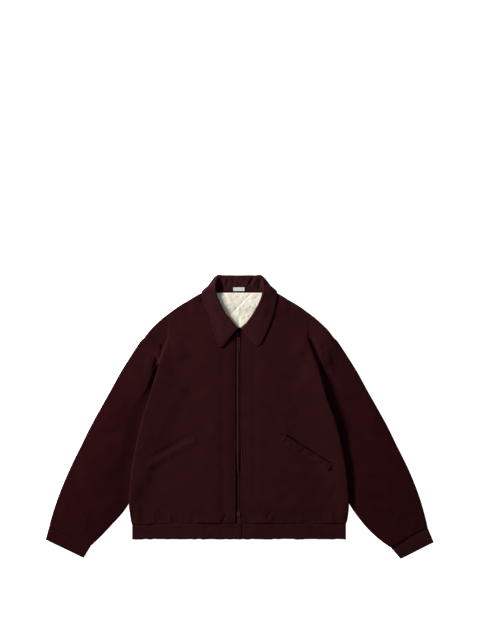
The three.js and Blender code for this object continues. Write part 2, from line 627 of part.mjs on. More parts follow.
// Quilted back lining, only as far as it shows in the neck and a little under the collar
function neckHalf(y, table) {
  const rows = table.slice(0, 8).map((row) => ({ y: row.fold[1], x: row.fold[0] }));
  return readTable(rows, 'y', 'x', y);
}
function quiltHeight(x, y) {
  const wave = (value) => Math.abs(Math.sin((Math.PI * value) / quiltPitch));
  const a = (y - x - 297) / Math.SQRT2;
  const b = (y + x - 330) / Math.SQRT2;
  return Math.min(1, 1.6 * Math.min(wave(a), wave(b)));
}
function backLining() {
  const ys = [239, 243, 249, 256, 264, 272, 280, 288, 296, 304, 312, 320, 328, 333.6];
  const across = [0, 0.05, 0.11, 0.18, 0.26, 0.34, 0.42, 0.5, 0.58, 0.66, 0.74, 0.82, 0.89, 0.95, 1];
  const under = 4;
  const lower = [];
  const upper = [];
  for (const y of ys) {
    const low = -neckHalf(y, collarLeft) - under;
    const high = neckHalf(y, collarRight) + under;
    const bottomRow = across.map((t) => {
      const x = lerp(low, high, t);
      return [x, y, gridHeight(back.upper, x, y) + 0.4];
    });
    lower.push(bottomRow);
    upper.push(bottomRow.map(([x, , z]) => {
      const edge = Math.min(x - low, high - x, (y - ys[0]) * 2 + 2, (334 - y) * 3 + 2);
      return [x, y, z + liningEdge + quiltPuff * smooth((edge - 3) / 12) * quiltHeight(x, y)];
    }));
  }
  return solidFromGrids(upper, lower);
}
addPart('back_lining', backLining(), colours.lining);

// Bare label sewn inside the back neck
function label() {
  const [width, height, thickness] = labelSize;
  const row = collarSection(collarLeft[collarLeft.length - 1], 1);
  const profile = row.slice(-4).map((p) => ({ y: p[1], z: p[2] })).reverse();
  const lower = [];
  const upper = [];
  for (const share of [0, 0.5, 0.97, 1]) {
    const y = labelBottomY + share * height;
    const z = readTable(profile, 'y', 'z', y) + collarWall / 2 + 0.3;
    const xs = [-width / 2, 0, width / 2];
    lower.push(xs.map((x) => [x, y, z]));
    upper.push(xs.map((x) => [x, y, z + thickness]));
  }
  return solidFromGrids(upper, lower);
}
addPart('label', label(), colours.label);

// Welt pockets, laid on the fronts
function weltPocket(name, side) {
  const { from, to } = welts[name];
  const run = [to[0] - from[0], to[1] - from[1]];
  const length = Math.hypot(run[0], run[1]);
  const aside = [-run[1] / length, run[0] / length];
  const lower = [];
  const upper = [];
  const steps = 14;
  for (let i = 0; i <= steps; i += 1) {
    const t = i / steps;
    const low = [];
    const high = [];
    for (const s of [-0.5, -0.4, -0.15, 0.15, 0.4, 0.5]) {
      const x = side * (from[0] + run[0] * t + aside[0] * s * weltWidth);
      const y = from[1] + run[1] * t + aside[1] * s * weltWidth;
      const z = gridHeight(frontGrids[name], x, y) + 0.45;
      const rim = Math.abs(s) === 0.5 || i === 0 || i === steps ? 0.6 : 0;
      low.push([x, y, z]);
      high.push([x, y, z + weltWall - rim]);
    }
    lower.push(low);
    upper.push(high);
  }
  return solidFromGrids(upper, lower);
}
addPart('welt_left', weltPocket('left', -1), colours.shell);
addPart('welt_right', weltPocket('right', 1), colours.shell);

// Zip: two tapes, the closed chain, the box at the bottom, the slider and its pull tab
function block(x0, x1, y0, y1, z0, z1) {
  const geometry = new THREE.BoxGeometry(x1 - x0, y1 - y0, z1 - z0);
  geometry.translate((x0 + x1) / 2, (y0 + y1) / 2, (z0 + z1) / 2);
  return geometry;
}
function toManifold(geometry) {
  const plain = geometry.clone();
  plain.deleteAttribute('normal');
  plain.deleteAttribute('uv');
  const merged = mergeVertices(plain, 1e-4);
  const index = merged.index ?? [...Array(merged.attributes.position.count).keys()];
  return new wasm.Manifold(new wasm.Mesh({
    numProp: 3,
    vertProperties: new Float32Array(merged.attributes.position.array),
    triVerts: new Uint32Array(index.array ?? index),
  }));
}
function fromManifold(solid) {
  const mesh = solid.getMesh();
  const geometry = new THREE.BufferGeometry();
  geometry.setAttribute('position', new THREE.BufferAttribute(mesh.vertProperties, 3));
  geometry.setIndex(new THREE.BufferAttribute(mesh.triVerts, 1));
  geometry.computeVertexNormals();
  return geometry;
}
// Outline in the ZY plane given as [y, z] pairs, drawn out along X about the zip's middle
function acrossX(points, width) {
  const shape = new THREE.Shape(points.map(([y, z]) => new THREE.Vector2(y, z)));
  const geometry = new THREE.ExtrudeGeometry(shape, { depth: width, bevelEnabled: false });
  geometry.applyMatrix4(new THREE.Matrix4().makeBasis(
    new THREE.Vector3(0, 1, 0), new THREE.Vector3(0, 0, 1), new THREE.Vector3(1, 0, 0)));
  geometry.translate(zipX - width / 2, 0, 0);
  return geometry;
}
const chainLeft = zipX - chainWidth / 2;
const chainRight = zipX + chainWidth / 2;
const tapeBottomY = hemSeamY + seamGap;
const tapeTop = tapeZ + tapeWall;
function zipTape(nearX, farX) {
  return block(Math.min(nearX, farX), Math.max(nearX, farX), tapeBottomY, zipTopY, tapeZ, tapeTop);
}
addPart('zip_tape_left', zipTape(chainLeft - 0.3, chainLeft - 0.3 - tapeWidth), colours.tape);
addPart('zip_tape_right', zipTape(chainRight + 0.3, chainRight + 0.3 + tapeWidth), colours.tape);
const chain = block(chainLeft, chainRight, zipBottomY + boxLength + 0.3, zipTopY, tapeZ, chainTop);
addPart('zip_chain', chain, colours.tape, 0.6);

function zipBox() {
  const endY = zipBottomY + boxLength;
  const head = block(zipX - boxWidth / 2, zipX + boxWidth / 2, zipBottomY, endY, tapeTop + 0.3, 6.9);
  const root = block(chainLeft, chainRight, tapeBottomY, endY, tapeZ, tapeTop + 0.4);
  return fromManifold(toManifold(head).add(toManifold(root)));
}
addPart('zip_box', zipBox(), colours.tape, 0.6);

function zipSlider() {
  const roof = chainTop + 0.35;
  const outline = new THREE.Shape([
    [-4, -8], [4, -8], [5.5, -3], [5.5, 5], [3.8, 8], [-3.8, 8], [-5.5, 5], [-5.5, -3],
  ].map(([x, y]) => new THREE.Vector2(zipX + x, sliderY + y)));
  const plate = new THREE.ExtrudeGeometry(outline, { depth: 7.5 - tapeTop - 0.3, bevelEnabled: false });
  plate.translate(0, 0, tapeTop + 0.3);
  const channel = block(chainLeft - 0.4, chainRight + 0.4, 200, 240, 0, roof);
  const bridge = acrossX([
    [213.6, 7.2], [215, 10], [217, 10.9], [224.4, 10.9], [226.6, 9.8],
    [227.6, 7.2], [225.4, 7.2], [224.4, 9.6], [217.2, 9.6], [216.6, 7.2],
  ], 2.6);
  return fromManifold(toManifold(plate).subtract(toManifold(channel)).add(toManifold(bridge)));
}
addPart('zip_slider', zipSlider(), colours.metal, 0.45, 0.7);

function zipPull() {
  const half = pullWidth / 2;
  const outline = new THREE.Shape([
    [-3.4, 0], [3.4, 0], [3.4, -6.6], [half, -9], [half, 2 - pullReach],
    [half - 2, -pullReach], [2 - half, -pullReach], [-half, 2 - pullReach], [-half, -9], [-3.4, -6.6],
  ].map(([x, y]) => new THREE.Vector2(zipX + x, pullAxisY + y)));
  const eye = [[-2, -0.7], [-2, -6.4], [2, -6.4], [2, -0.7]];
  outline.holes.push(new THREE.Path(eye.map(([x, y]) => new THREE.Vector2(zipX + x, pullAxisY + y))));
  const hole = new THREE.Path();
  hole.absarc(zipX, pullAxisY - pullReach + 5, 1.5, 0, Math.PI * 2);
  outline.holes.push(hole);
  const plate = new THREE.ExtrudeGeometry(outline, {
    depth: pullWall, bevelEnabled: false, curveSegments: 8,
  });
  plate.translate(0, 0, pullAxisZ - pullWall / 2);
  const barRadius = 0.7;
  const bar = new THREE.CylinderGeometry(barRadius, barRadius, 6.8, 12);
  bar.rotateZ(Math.PI / 2);
  bar.translate(zipX, pullAxisY, pullAxisZ);
  return fromManifold(toManifold(plate).add(toManifold(bar)));
}
addPart('zip_pull', zipPull(), colours.pull, 0.5, 0.4);

export default jacket;
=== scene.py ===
import math

import bpy
import numpy as np
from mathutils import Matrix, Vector


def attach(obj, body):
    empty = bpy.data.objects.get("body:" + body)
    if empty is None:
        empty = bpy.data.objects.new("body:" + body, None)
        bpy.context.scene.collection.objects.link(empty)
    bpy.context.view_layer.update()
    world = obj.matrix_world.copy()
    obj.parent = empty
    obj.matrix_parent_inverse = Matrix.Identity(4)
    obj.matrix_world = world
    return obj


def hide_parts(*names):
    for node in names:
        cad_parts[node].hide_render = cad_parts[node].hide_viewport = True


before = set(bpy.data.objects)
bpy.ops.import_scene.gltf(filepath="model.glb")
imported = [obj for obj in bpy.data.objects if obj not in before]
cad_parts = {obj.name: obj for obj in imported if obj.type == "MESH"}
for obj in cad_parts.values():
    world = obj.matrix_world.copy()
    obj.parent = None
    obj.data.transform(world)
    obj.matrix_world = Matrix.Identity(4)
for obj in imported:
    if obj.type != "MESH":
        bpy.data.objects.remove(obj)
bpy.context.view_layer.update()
print("jacket: packed frame loaded")

mm = 0.001  # every table below is in millimetres


# curves, patches and soft profiles, as the cut pieces use them

def smooth(t):
    t = np.clip(t, 0, 1)
    return t * t * (3 - 2 * t)


def gauss(distance, at, width):  # 1 at the bottom of a groove, dying away beside it
    return np.exp(-((distance - at) / width) ** 2)


def roundedRim(distance, radius):  # from 0 at a rim to 1 one radius in, as a quarter circle
    return np.sqrt(1 - (1 - np.clip(distance / radius, 0, 1)) ** 2)


def lengthAlong(points):  # distance from the first point of a line, at each of its points
    return np.r_[0, np.cumsum(np.linalg.norm(np.diff(points, axis=0), axis=1))]


def meanLength(grid, axis=0):  # the same down a grid of points, or across it
    return np.r_[0, np.cumsum(np.linalg.norm(np.diff(grid, axis=axis), axis=-1).mean(axis=1 - axis))]


def curveThrough(points):  # an even curve through flat points
    p = np.array(points, float)
    ends = np.vstack([p[:1], p, p[-1:]])
    t = np.linspace(0, 1, 40, endpoint=False)[:, None]
    runs = []
    for i in range(len(p) - 1):
        a, b, c, d = ends[i:i + 4]
        runs.append(0.5 * (2 * b + (c - a) * t + (2 * a - 5 * b + 4 * c - d) * t ** 2
                           + (3 * b - a - 3 * c + d) * t ** 3))
    dense = np.vstack(runs + [p[-1:]])
    s = lengthAlong(dense)
    s /= s[-1]
    return lambda at: np.stack([np.interp(at, s, dense[:, k]) for k in range(2)], -1)


def lineBetween(a, b):
    a, b = np.array(a, float), np.array(b, float)
    return lambda at: a + (b - a) * np.asarray(at, float)[..., None]


def joined(first, second, share):  # two lines as one, the first up to that share
    def at(t):
        t = np.asarray(t, float)
        rest = second((t - share) / (1 - share))
        return np.where((t < share)[..., None], first(t / share), rest)
    return at


def patch(inner, outer, start, end):  # a flat surface between four lines
    zero, one = np.array(0.0), np.array(1.0)
    corners = [inner(zero), outer(zero), inner(one), outer(one)]

    def at(u, v):
        u, v = np.broadcast_arrays(np.asarray(u, float), np.asarray(v, float))
        out, up = u[..., None], v[..., None]
        across = inner(v) * (1 - out) + outer(v) * out
        along = start(u) * (1 - up) + end(u) * up
        low = corners[0] * (1 - out) + corners[1] * out
        high = corners[2] * (1 - out) + corners[3] * out
        return across + along - (low * (1 - up) + high * up)
    return at


def refine(rows, count):  # a smooth surface through rows of points, in even steps
    s = meanLength(rows)
    slope = np.gradient(rows, s, axis=0)
    at = np.linspace(0, s[-1], count)
    i = np.clip(np.searchsorted(s, at, side="right") - 1, 0, len(s) - 2)
    h = (s[i + 1] - s[i])[:, None, None]
    t = ((at - s[i]) / (s[i + 1] - s[i]))[:, None, None]
    return ((2 * t ** 3 - 3 * t ** 2 + 1) * rows[i] + (t ** 3 - 2 * t ** 2 + t) * h * slope[i]
            + (3 * t ** 2 - 2 * t ** 3) * rows[i + 1] + (t ** 3 - t ** 2) * h * slope[i + 1])


def uneven(x, y, size, seed):  # soft random height from -1 to 1, at one scale
    lattice = np.random.default_rng(seed).uniform(-1, 1, (64, 64))
    gx, gy = np.asarray(x) / size + 20, np.asarray(y) / size + 20
    ix, iy = np.floor(gx).astype(int), np.floor(gy).astype(int)
    fx, fy = smooth(gx - ix), smooth(gy - iy)

    def rowOf(j):
        return lattice[ix % 64, j % 64] * (1 - fx) + lattice[(ix + 1) % 64, j % 64] * fx
    return rowOf(iy) * (1 - fy) + rowOf(iy + 1) * fy


def creased(x, y, creases):  # x0, y0, x1, y1, width and height of each soft crease, and any bow
    total = np.zeros(np.broadcast(x, y).shape)
    for x0, y0, x1, y1, width, height, *bow in creases:
        length = math.hypot(x1 - x0, y1 - y0)
        dx, dy = (x1 - x0) / length, (y1 - y0) / length
        along = ((x - x0) * dx + (y - y0) * dy) / length
        aside = (x - x0) * dy - (y - y0) * dx - sum(bow) * 4 * along * (1 - along)
        ends = smooth(along / 0.3 + 0.15) * smooth((1 - along) / 0.3 + 0.15)
        total = total + height * ends * gauss(aside, 0, width)
    return total


# meshes

def placed(name, data):
    made = bpy.data.objects.new(name, data)
    bpy.context.scene.collection.objects.link(made)
    return made


def meshObject(name, points, faces, material, uv=None, soft=True):
    mesh = bpy.data.meshes.new(name)
    metres = np.asarray(points, float).reshape(-1, 3) * mm
    mesh.from_pydata(metres.tolist(), [], np.asarray(faces).tolist())
    if uv is not None:
        layer = mesh.uv_layers.new(name="clothGrain")
        corner = np.zeros(len(mesh.loops), int)
        mesh.loops.foreach_get("vertex_index", corner)
        layer.data.foreach_set("uv", uv[corner].ravel())
    mesh.validate()
    if soft:
        mesh.shade_smooth()
    mesh.materials.append(material)
    made = placed(name, mesh)
    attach(made, "garment")
    return made


def crossed(rows, cols):
    return np.meshgrid(rows, cols, indexing="ij")


def gridFaces(rows, cols, start, ring):
    i, j = crossed(np.arange(rows - 1), np.arange(cols if ring else cols - 1))
    k = (j + 1) % cols
    corners = [i * cols + j, i * cols + k, (i + 1) * cols + k, (i + 1) * cols + j]
    return start + np.stack(corners, -1).reshape(-1, 4)


def shellFaces(rows, cols, ring):  # two grids of points, closed round their rims
    n, last = rows * cols, (rows - 1) * cols
    j = np.arange(cols if ring else cols - 1)
    k = (j + 1) % cols
    parts = [gridFaces(rows, cols, 0, ring), gridFaces(rows, cols, n, ring)[:, ::-1],
             np.stack([k, j, j + n, k + n], -1),
             np.stack([last + j, last + k, last + k + n, last + j + n], -1)]
    if not ring:
        i = np.arange(rows - 1) * cols
        end = i + cols - 1
        parts += [np.stack([i, i + cols, i + cols + n, i + n], -1),
                  np.stack([end + cols, end, end + n, end + cols + n], -1)]
    return np.vstack(parts)


def facingOut(points, faces):
    p = np.asarray(points, float).reshape(-1, 3)[faces]
    middle = p.mean(axis=1)
    area = np.cross(p[:, 2] - p[:, 0], p[:, 3] - p[:, 1])
    return faces if (middle * area).sum() > 0 else faces[:, ::-1]


def clothPiece(name, outer, inner, material, ring=False):
    rows, cols = outer.shape[:2]
    points = np.vstack([outer.reshape(-1, 3), inner.reshape(-1, 3)])
    faces = facingOut(points, shellFaces(rows, cols, ring))
    across, along = lengthAlong(outer[rows // 2]), lengthAlong(outer[:, cols // 2])
    grain = (np.stack(np.meshgrid(across, along), -1) * mm).reshape(-1, 2)
    return meshObject(name, points, faces, material, np.vstack([grain, grain]))


def normalsOf(grid, i, j):  # pointing up at that row and column
    along, across = np.gradient(grid, axis=0), np.gradient(grid, axis=1)
    n = np.cross(across, along)
    n = n / np.maximum(np.linalg.norm(n, axis=-1, keepdims=True), 1e-9)
    return -n if n[i, j, 2] < 0 else n


# the jacket's own lines, in millimetres from the middle of the body

jacketCut = {
    "wall": 3.0, "layerGap": 0.6, "hemSeam": -290.0, "hemBottom": -332.4, "neckline": 334.0,
    "leftEdge": 9.3, "rightEdge": 7.2, "rightEdgeTop": 4.0, "frontTop": 233.0, "overZip": 1.5,
    "padding": 3.6, "neckLift": 3.3, "shoulderRoll": 2.4, "sideCrest": 4.8,
    "highCrest": {"left": 0.0, "right": 3.6}, "sideRadius": {"left": 3.6, "right": 4.6},
    "sleeveDip": {"left": 4.0, "right": 3.4}, "sleeveLift": 4.0, "sleeveEdge": 6.8, "leftArmFuller": 5.8,
    "sleeveShelf": 9.1, "shelfDrop": 3.4, "shelfRun": 105, "sleeveCrown": 11.5,
    "air": 6.5, "airAt": (238, 212), "airWide": 60,  # a pocket of air under the right shoulder
    "neckShare": 0.72, "armholeShare": 0.8, "sleeveShare": 0.44,
}
sides = {"left": -1, "right": 1}
hemHalf = 288.6
foldRows = {  # y and x of the rolled fold at each side
    "left": [(-290, hemHalf), (-275, 293.2), (-235, 296.4), (-191, 293.6), (-140, 288), (-70, 275.2),
             (0, 258.2), (46, 243), (93, 230), (140, 216), (160, 207.5), (215, 188)],
    "right": [(-290, hemHalf), (-275, 293.2), (-235, 296.4), (-191, 294), (-140, 288.8), (-70, 275.6),
              (0, 256), (46, 238), (93, 224.6), (140, 213), (160, 203), (215, 184)],
}
tuckRows = [(-320, 372), (-254, 314), (-221, 300), (-170, 268), (-110, 240), (-40, 215), (30, 190),
            (75, 170), (140, 216), (211, 256)]
shoulderRows = [(84, 338), (98, 333), (108, 329), (135, 313), (162, 297), (184, 281), (205, 265),
                (224, 248), (240, 232), (256, 211)]
underarm, armEnd, shoulderEnd = (170, 75), (216, 140), (256, 211)
necklineRows = [(17, 243), (33, 260), (48, 281), (61, 303), (73, 322)]
foldLines = {name: curveThrough(rows)(np.linspace(0, 1, 240)) for name, rows in foldRows.items()}


def sideOf(side):
    return "left" if side < 0 else "right"


def foldX(y, side):
    return np.interp(y, *foldLines[sideOf(side)].T)


def tuckX(y):
    return np.interp(y, *zip(*tuckRows))


def shoulderY(x):
    return np.interp(x, *zip(*shoulderRows))


def belowShoulder(x, y):  # creases die away at the shoulder seam
    return smooth((shoulderY(x) - y) / 26 + 0.1)


def backTop(x, y, lead=0.0, side=None):  # the back's upper face; lead starts the neck's rise sooner
    c = jacketCut
    signed = x if side is None else side * np.abs(x)
    far = (np.hypot(signed - c["airAt"][0], y - c["airAt"][1]) / c["airWide"]) ** 2
    air = c["air"] * np.exp(-far) * belowShoulder(np.abs(x), y - 12)
    neck = c["neckLift"] * smooth((y - 276 + lead) / 28) * smooth((128 - np.abs(x) + lead) / 18)
    return c["wall"] + air + neck


def frontTop(x, y, side):  # a front with its padding, side roll and what it lies over
    c, ax = jacketCut, np.abs(x)
    inside = foldX(y, side) - ax
    padding = c["padding"] * smooth((ax - 12) / 55) * smooth((y - c["hemSeam"] - 4) / 55)
    padding = padding * smooth((shoulderY(ax) - y) / 90) * smooth(1 + inside / 4)
    roll = np.where(inside > 0, smooth(1 - inside / 72), smooth(1 + inside / 4))
    tall = c["sideCrest"] + c["highCrest"][sideOf(side)] * smooth((y + 90) / 90) * smooth((170 - y) / 60)
    crest = padding + tall * roll * smooth((y + 296) / 50) * (1 - smooth((y - 170) / 50))
    overSleeve = c["sleeveLift"] * smooth((ax - tuckX(y) + 45) / 45)
    overZip = c["overZip"] * smooth(1 - (ax - 26) / 20)
    shoulder = c["shoulderRoll"] * smooth(1 - (shoulderY(ax) - y) / 55) * smooth((ax - 100) / 50)
    raised = np.maximum(overSleeve, shoulder) + 0.25 * np.minimum(overSleeve, shoulder)
    return backTop(x, y, 12, side) + c["layerGap"] + c["wall"] + overZip + raised + crest


def sleeveLow(y, side):  # height of the sleeve right beside the body's fold
    c = jacketCut
    low = c["sleeveDip"][sideOf(side)] + (c["leftArmFuller"] * smooth((124 - y) / 80) if side < 0 else 0)
    return low + (c["sleeveEdge"] - low) * smooth((-y - 190) / 60)


def sleeveTop(x, y, side, arch=0):  # hollow beside the body's fold, fuller further out
    c = jacketCut
    low = sleeveLow(y, side)
    beyond = np.abs(x) - foldX(y, side) + 1
    if side < 0:
        steep = smooth((y - 20) / 60) - 0.75 * smooth((y - 150) / 25)
        return low + (c["sleeveCrown"] + arch - low) * smooth(beyond / (44 - 26 * steep))
    shelf = c["sleeveShelf"] - c["shelfDrop"] * smooth((y + 110) / 90)
    rise = smooth(beyond / (30 + 18 * smooth(y / 50)))
    slow = smooth(np.clip(beyond / c["shelfRun"], 0, 1) * 0.5) * 2
    return low + (shelf - low) * rise + (c["sleeveCrown"] + arch - shelf) * slow


underarmCreases = {  # small folds that cross the armhole seam
    "left": [(-209, 197, -206, 176, 3.6, -2.6), (-220, 162, -226, 128, 4.2, -3.4),
             (-222, 176, -214, 150, 5, 1.6), (-226, 152, -227, 100, 6, -1.4)],
    "right": [(229, 196, 228, 150, 7, -1.2), (236, 190, 240, 130, 9, 1.0),
              (189, 218, 224, 116, 9.0, -5.6, -2), (184, 164, 266, 238, 38, 3.6),
              (230, 208, 258, 120, 24, -3.2)],
}


# materials

def nodesOf(name):
    material = bpy.data.materials.new(name)
    material.use_nodes = True
    tree = material.node_tree
    tree.nodes.clear()
    out = tree.nodes.new("ShaderNodeOutputMaterial")
    shader = tree.nodes.new("ShaderNodeBsdfPrincipled")
    tree.links.new(shader.outputs["BSDF"], out.inputs["Surface"])
    return material, tree, shader


def node(tree, kind, **values):
    made = tree.nodes.new(kind)
    for key, value in values.items():
        if key.startswith("in_"):
            made.inputs[key[3:].replace("_", " ")].default_value = value
        else:
            setattr(made, key, value)
    return made


def setShader(shader, values):  # constants, straight on the shader's sockets
    for socket, value in values.items():
        shader.inputs[socket].default_value = value


def toneRamp(tree, source, low, high):  # between two tones, each with its place on the ramp
    ramp = node(tree, "ShaderNodeValToRGB")
    for stop, (position, tone) in zip(ramp.color_ramp.elements, (low, high)):
        stop.position, stop.color = position, (*tone, 1)
    tree.links.new(source, ramp.inputs["Fac"])
    return ramp.outputs["Color"]


def bumped(tree, shader, source, strength, depth):
    bump = node(tree, "ShaderNodeBump", in_Strength=strength, in_Distance=depth)
    tree.links.new(source, bump.inputs["Height"])
    tree.links.new(bump.outputs["Normal"], shader.inputs["Normal"])


grainLook = {"mottle": 26.0, "fuzz": 900.0, "yarnTurn": 6.2832, "yarnDepth": 0.0003, "yarnShade": 0.35,
             "solid": 400.0, "solidDepth": 0.00012, "paintedShadeFrom": 0.22, "paintedShadeTo": 0.33}


# far is a tint multiplied in away from the body's middle, painted shade
def clothMaterial(name, base, light, sheen=0.035, rough=0.9, yarn=0.9, weave=0.35, specular=0.015, far=None):
    material, tree, shader = nodesOf(name)
    link, look = tree.links.new, grainLook
    place = node(tree, "ShaderNodeTexCoord").outputs
    cross = node(tree, "ShaderNodeMath", operation="MAXIMUM")
    for i, direction in enumerate("XY"):  # warp and weft
        yarns = node(tree, "ShaderNodeTexWave", bands_direction=direction,
                     in_Scale=1000 / yarn / look["yarnTurn"], in_Distortion=0.6, in_Detail=1.0)
        link(place["UV"], yarns.inputs["Vector"])
        link(yarns.outputs["Fac"], cross.inputs[i])
    mottle = node(tree, "ShaderNodeTexNoise", in_Scale=look["mottle"], in_Detail=5.0, in_Roughness=0.62)
    fuzz = node(tree, "ShaderNodeTexNoise", in_Scale=look["fuzz"], in_Detail=2.0)
    link(place["Object"], mottle.inputs["Vector"])
    link(place["Object"], fuzz.inputs["Vector"])
    tone = node(tree, "ShaderNodeMix", data_type="RGBA", blend_type="MULTIPLY")
    tone.inputs["Factor"].default_value = look["yarnShade"]
    link(toneRamp(tree, mottle.outputs["Fac"], (0.32, base), (0.72, light)), tone.inputs["A"])
    link(cross.outputs["Value"], tone.inputs["B"])
    if far:  # painted shade: the colour darkens away from the body's middle, standing in for the shade on the sleeves
        apart = node(tree, "ShaderNodeSeparateXYZ")
        link(place["Object"], apart.inputs["Vector"])
        aside = node(tree, "ShaderNodeMath", operation="ABSOLUTE")
        link(apart.outputs["X"], aside.inputs[0])
        ease = node(tree, "ShaderNodeMapRange", interpolation_type="SMOOTHSTEP",
                    in_From_Min=look["paintedShadeFrom"], in_From_Max=look["paintedShadeTo"])
        link(aside.outputs["Value"], ease.inputs["Value"])
        near = tone
        tone = node(tree, "ShaderNodeMix", data_type="RGBA", blend_type="MULTIPLY")
        link(ease.outputs["Result"], tone.inputs["Factor"])
        link(near.outputs["Result"], tone.inputs["A"])
        tone.inputs["B"].default_value = (*far, 1)
    link(tone.outputs["Result"], shader.inputs["Base Color"])
    height = node(tree, "ShaderNodeMath", operation="MULTIPLY_ADD")
    link(fuzz.outputs["Fac"], height.inputs[0])
    height.inputs[1].default_value = 0.5
    link(cross.outputs["Value"], height.inputs[2])
    bumped(tree, shader, height.outputs["Value"], weave, look["yarnDepth"])
    tint = [min(1, c / max(light) + 0.25) for c in light]
    setShader(shader, {"Roughness": rough, "Sheen Weight": sheen, "Sheen Roughness": 0.5,
                       "Sheen Tint": (*tint, 1), "Specular IOR Level": specular})
    return material


def solidMaterial(name, base, rough, specular):
    material, tree, shader = nodesOf(name)
    place = node(tree, "ShaderNodeTexCoord").outputs
    grains = node(tree, "ShaderNodeTexNoise", in_Scale=grainLook["solid"], in_Detail=4.0)
    tree.links.new(place["Object"], grains.inputs["Vector"])
    dark, bright = [c * 0.75 for c in base], [c * 1.3 for c in base]
    tone = toneRamp(tree, grains.outputs["Fac"], (0.3, dark), (0.75, bright))
    tree.links.new(tone, shader.inputs["Base Color"])
    bumped(tree, shader, grains.outputs["Fac"], 0.3, grainLook["solidDepth"])
    setShader(shader, {"Roughness": rough, "Metallic": 0.0, "Specular IOR Level": specular})
    return material


shellTones = ((0.0155, 0.0030, 0.0034), (0.0198, 0.0039, 0.0044))
finishes = {
    "shell": clothMaterial("burgundyShell", *shellTones),
    "collar": clothMaterial("burgundyCollar", (0.0187, 0.0043, 0.0052), (0.0236, 0.0055, 0.0065)),
    # the sleeves' far tints are painted shade, deeper on the left sleeve than on the right
    "sleeve_left": clothMaterial("burgundySleeve", *shellTones, far=(0.74, 0.52, 0.58)),
    "sleeve_right": clothMaterial("burgundySleeveRight", *shellTones, far=(0.90, 0.67, 0.72)),
    # the right cuff: a lighter copy of the shell tone, painted light
    "cuff_right": clothMaterial("burgundyCuffRightPaintedLight", (0.0166, 0.0037, 0.0041), (0.0212, 0.0048, 0.0053)),
    "lining": clothMaterial("ivoryLining", (0.56, 0.52, 0.43), (0.65, 0.62, 0.53), 0.1, 0.55, 0.5, 0.15, 0.2),
    "label": clothMaterial("bareLabel", (0.44, 0.42, 0.41), (0.53, 0.51, 0.50), 0.05, 0.7, 0.6, 0.4, 0.1),
    "tape": clothMaterial("zipTape", (0.0135, 0.0029, 0.0033), (0.0170, 0.0038, 0.0043), 0.03, 0.9, 1.2, 0.6),
    # near-black cloth for the strips in the pocket openings: painted shadow
    "mouth": clothMaterial("paintedPocketShadow", (0.0016, 0.0004, 0.0005), (0.0026, 0.0006, 0.0007), 0.0),
    "teeth": solidMaterial("dyedTeeth", (0.0230, 0.0054, 0.0060), 0.6, 0.08),
    "slider": solidMaterial("blackSlider", (0.0016, 0.0017, 0.0016), 0.5, 0.06),
    "pull": solidMaterial("paintedPull", (0.0145, 0.0036, 0.0041), 0.6, 0.06),
    "thread": solidMaterial("burgundyThread", (0.022, 0.0054, 0.0060), 0.7, 0.05),
}
# so the left cuff carries the left sleeve's painted shade
finishes["cuff_left"] = finishes["sleeve_left"]
print("jacket: cloth and metal finishes made")

# fronts

frontLook = {
    "puckers": 1.0, "hemPuckers": 1.0, "wave": 0.8, "ripple": 0.3, "stitchLine": 4.8, "stitchDepth": 0.8,
    "sideRidge": {"left": 0.0, "right": 2.4}, "seamWave": 1.3, "seamRound": 3.2, "rim": 1.6, "topRoll": 5,
}
frontCreases = {
    "left": [
        (-102.5, 332, -100, 304, 2.4, -2.8), (-187, 226, -176, 168, 9, -0.9, 3),
        (-176, 205, -150, 150, 16, 1.2), (-262, -150, -205, -250, 14, 1), (-231, -258, -226, -291, 3, 1.5),
        (-187, -262, -184, -291, 2.8, 1.4), (-210, -240, -205, -290, 12, -0.8),
        (-32, -266, -48, -290, 2.8, -2.6, 2), (-25, -262, -38, -288, 5, 0.9),
        (-85, -268, -80, -291, 5, 1.0), (-140, -262, -136, -290, 6, 1.1), (-250, -105, -205, -60, 16, -1.1),
        (-130, -40, -70, -20, 26, -0.9), (-60, 60, -150, -10, 24, 0.8), (-268, -230, -280, -290, 7, 1.2),
    ],
    "right": [
        (192, 208, 176, 150, 11, -1.3), (170, 200, 150, 150, 16, 1.1), (262, -150, 215, -250, 14, 1),
        (87, -256, 73, -279, 2.8, -2.0), (96, -258, 82, -282, 4, 0.8), (112, -268, 150, -270, 3, -0.8, 1),
        (204, -279, 218, -284, 4, -1.2), (60, -262, 52, -290, 5, 1.0), (170, -264, 174, -290, 6, 1.2),
        (245, -258, 252, -290, 6, 1.3), (60, -40, 120, -10, 26, -0.9), (70, 70, 150, 0, 26, 0.8),
        (230, -30, 258, -120, 16, 0.9), (275, -230, 282, -290, 7, 1.2),
    ],
}
frontSteps = {"rows": 190, "edge": [0, .4, .9, 1.5, 2.2, 3, 3.8, 4.4, 4.8, 5.2, 5.8, 6.8, 8.2, 10, 12.5],
              "wide": 280, "across": 84, "roll": [78, 66, 54, 42, 30, 18, 6, -8, -24, -42, -60]}


def frontPlan(side):
    c = jacketCut
    edgeX = c["leftEdge"] if side < 0 else c["rightEdge"]
    topX = c["leftEdge"] if side < 0 else c["rightEdgeTop"]
    hemY = c["hemSeam"] + 0.1
    neck = curveThrough([(topX, c["frontTop"]), *necklineRows, shoulderRows[0]])
    edgeLine = curveThrough([(edgeX, hemY), (edgeX, -140), ((edgeX + topX) / 2, -85), (topX, -30),
                             (topX + 0.5, 80), (topX, c["frontTop"])])
    inner = joined(edgeLine, neck, c["neckShare"])
    below = [(x, y) for y, x in foldRows[sideOf(side)] if hemY < y <= armEnd[1]]
    armhole = lineBetween(below[-1], shoulderEnd)
    outer = joined(curveThrough([(hemHalf, hemY), *below]), armhole, c["armholeShare"])
    return patch(inner, outer, lineBetween((edgeX, hemY), (hemHalf, hemY)), curveThrough(shoulderRows))


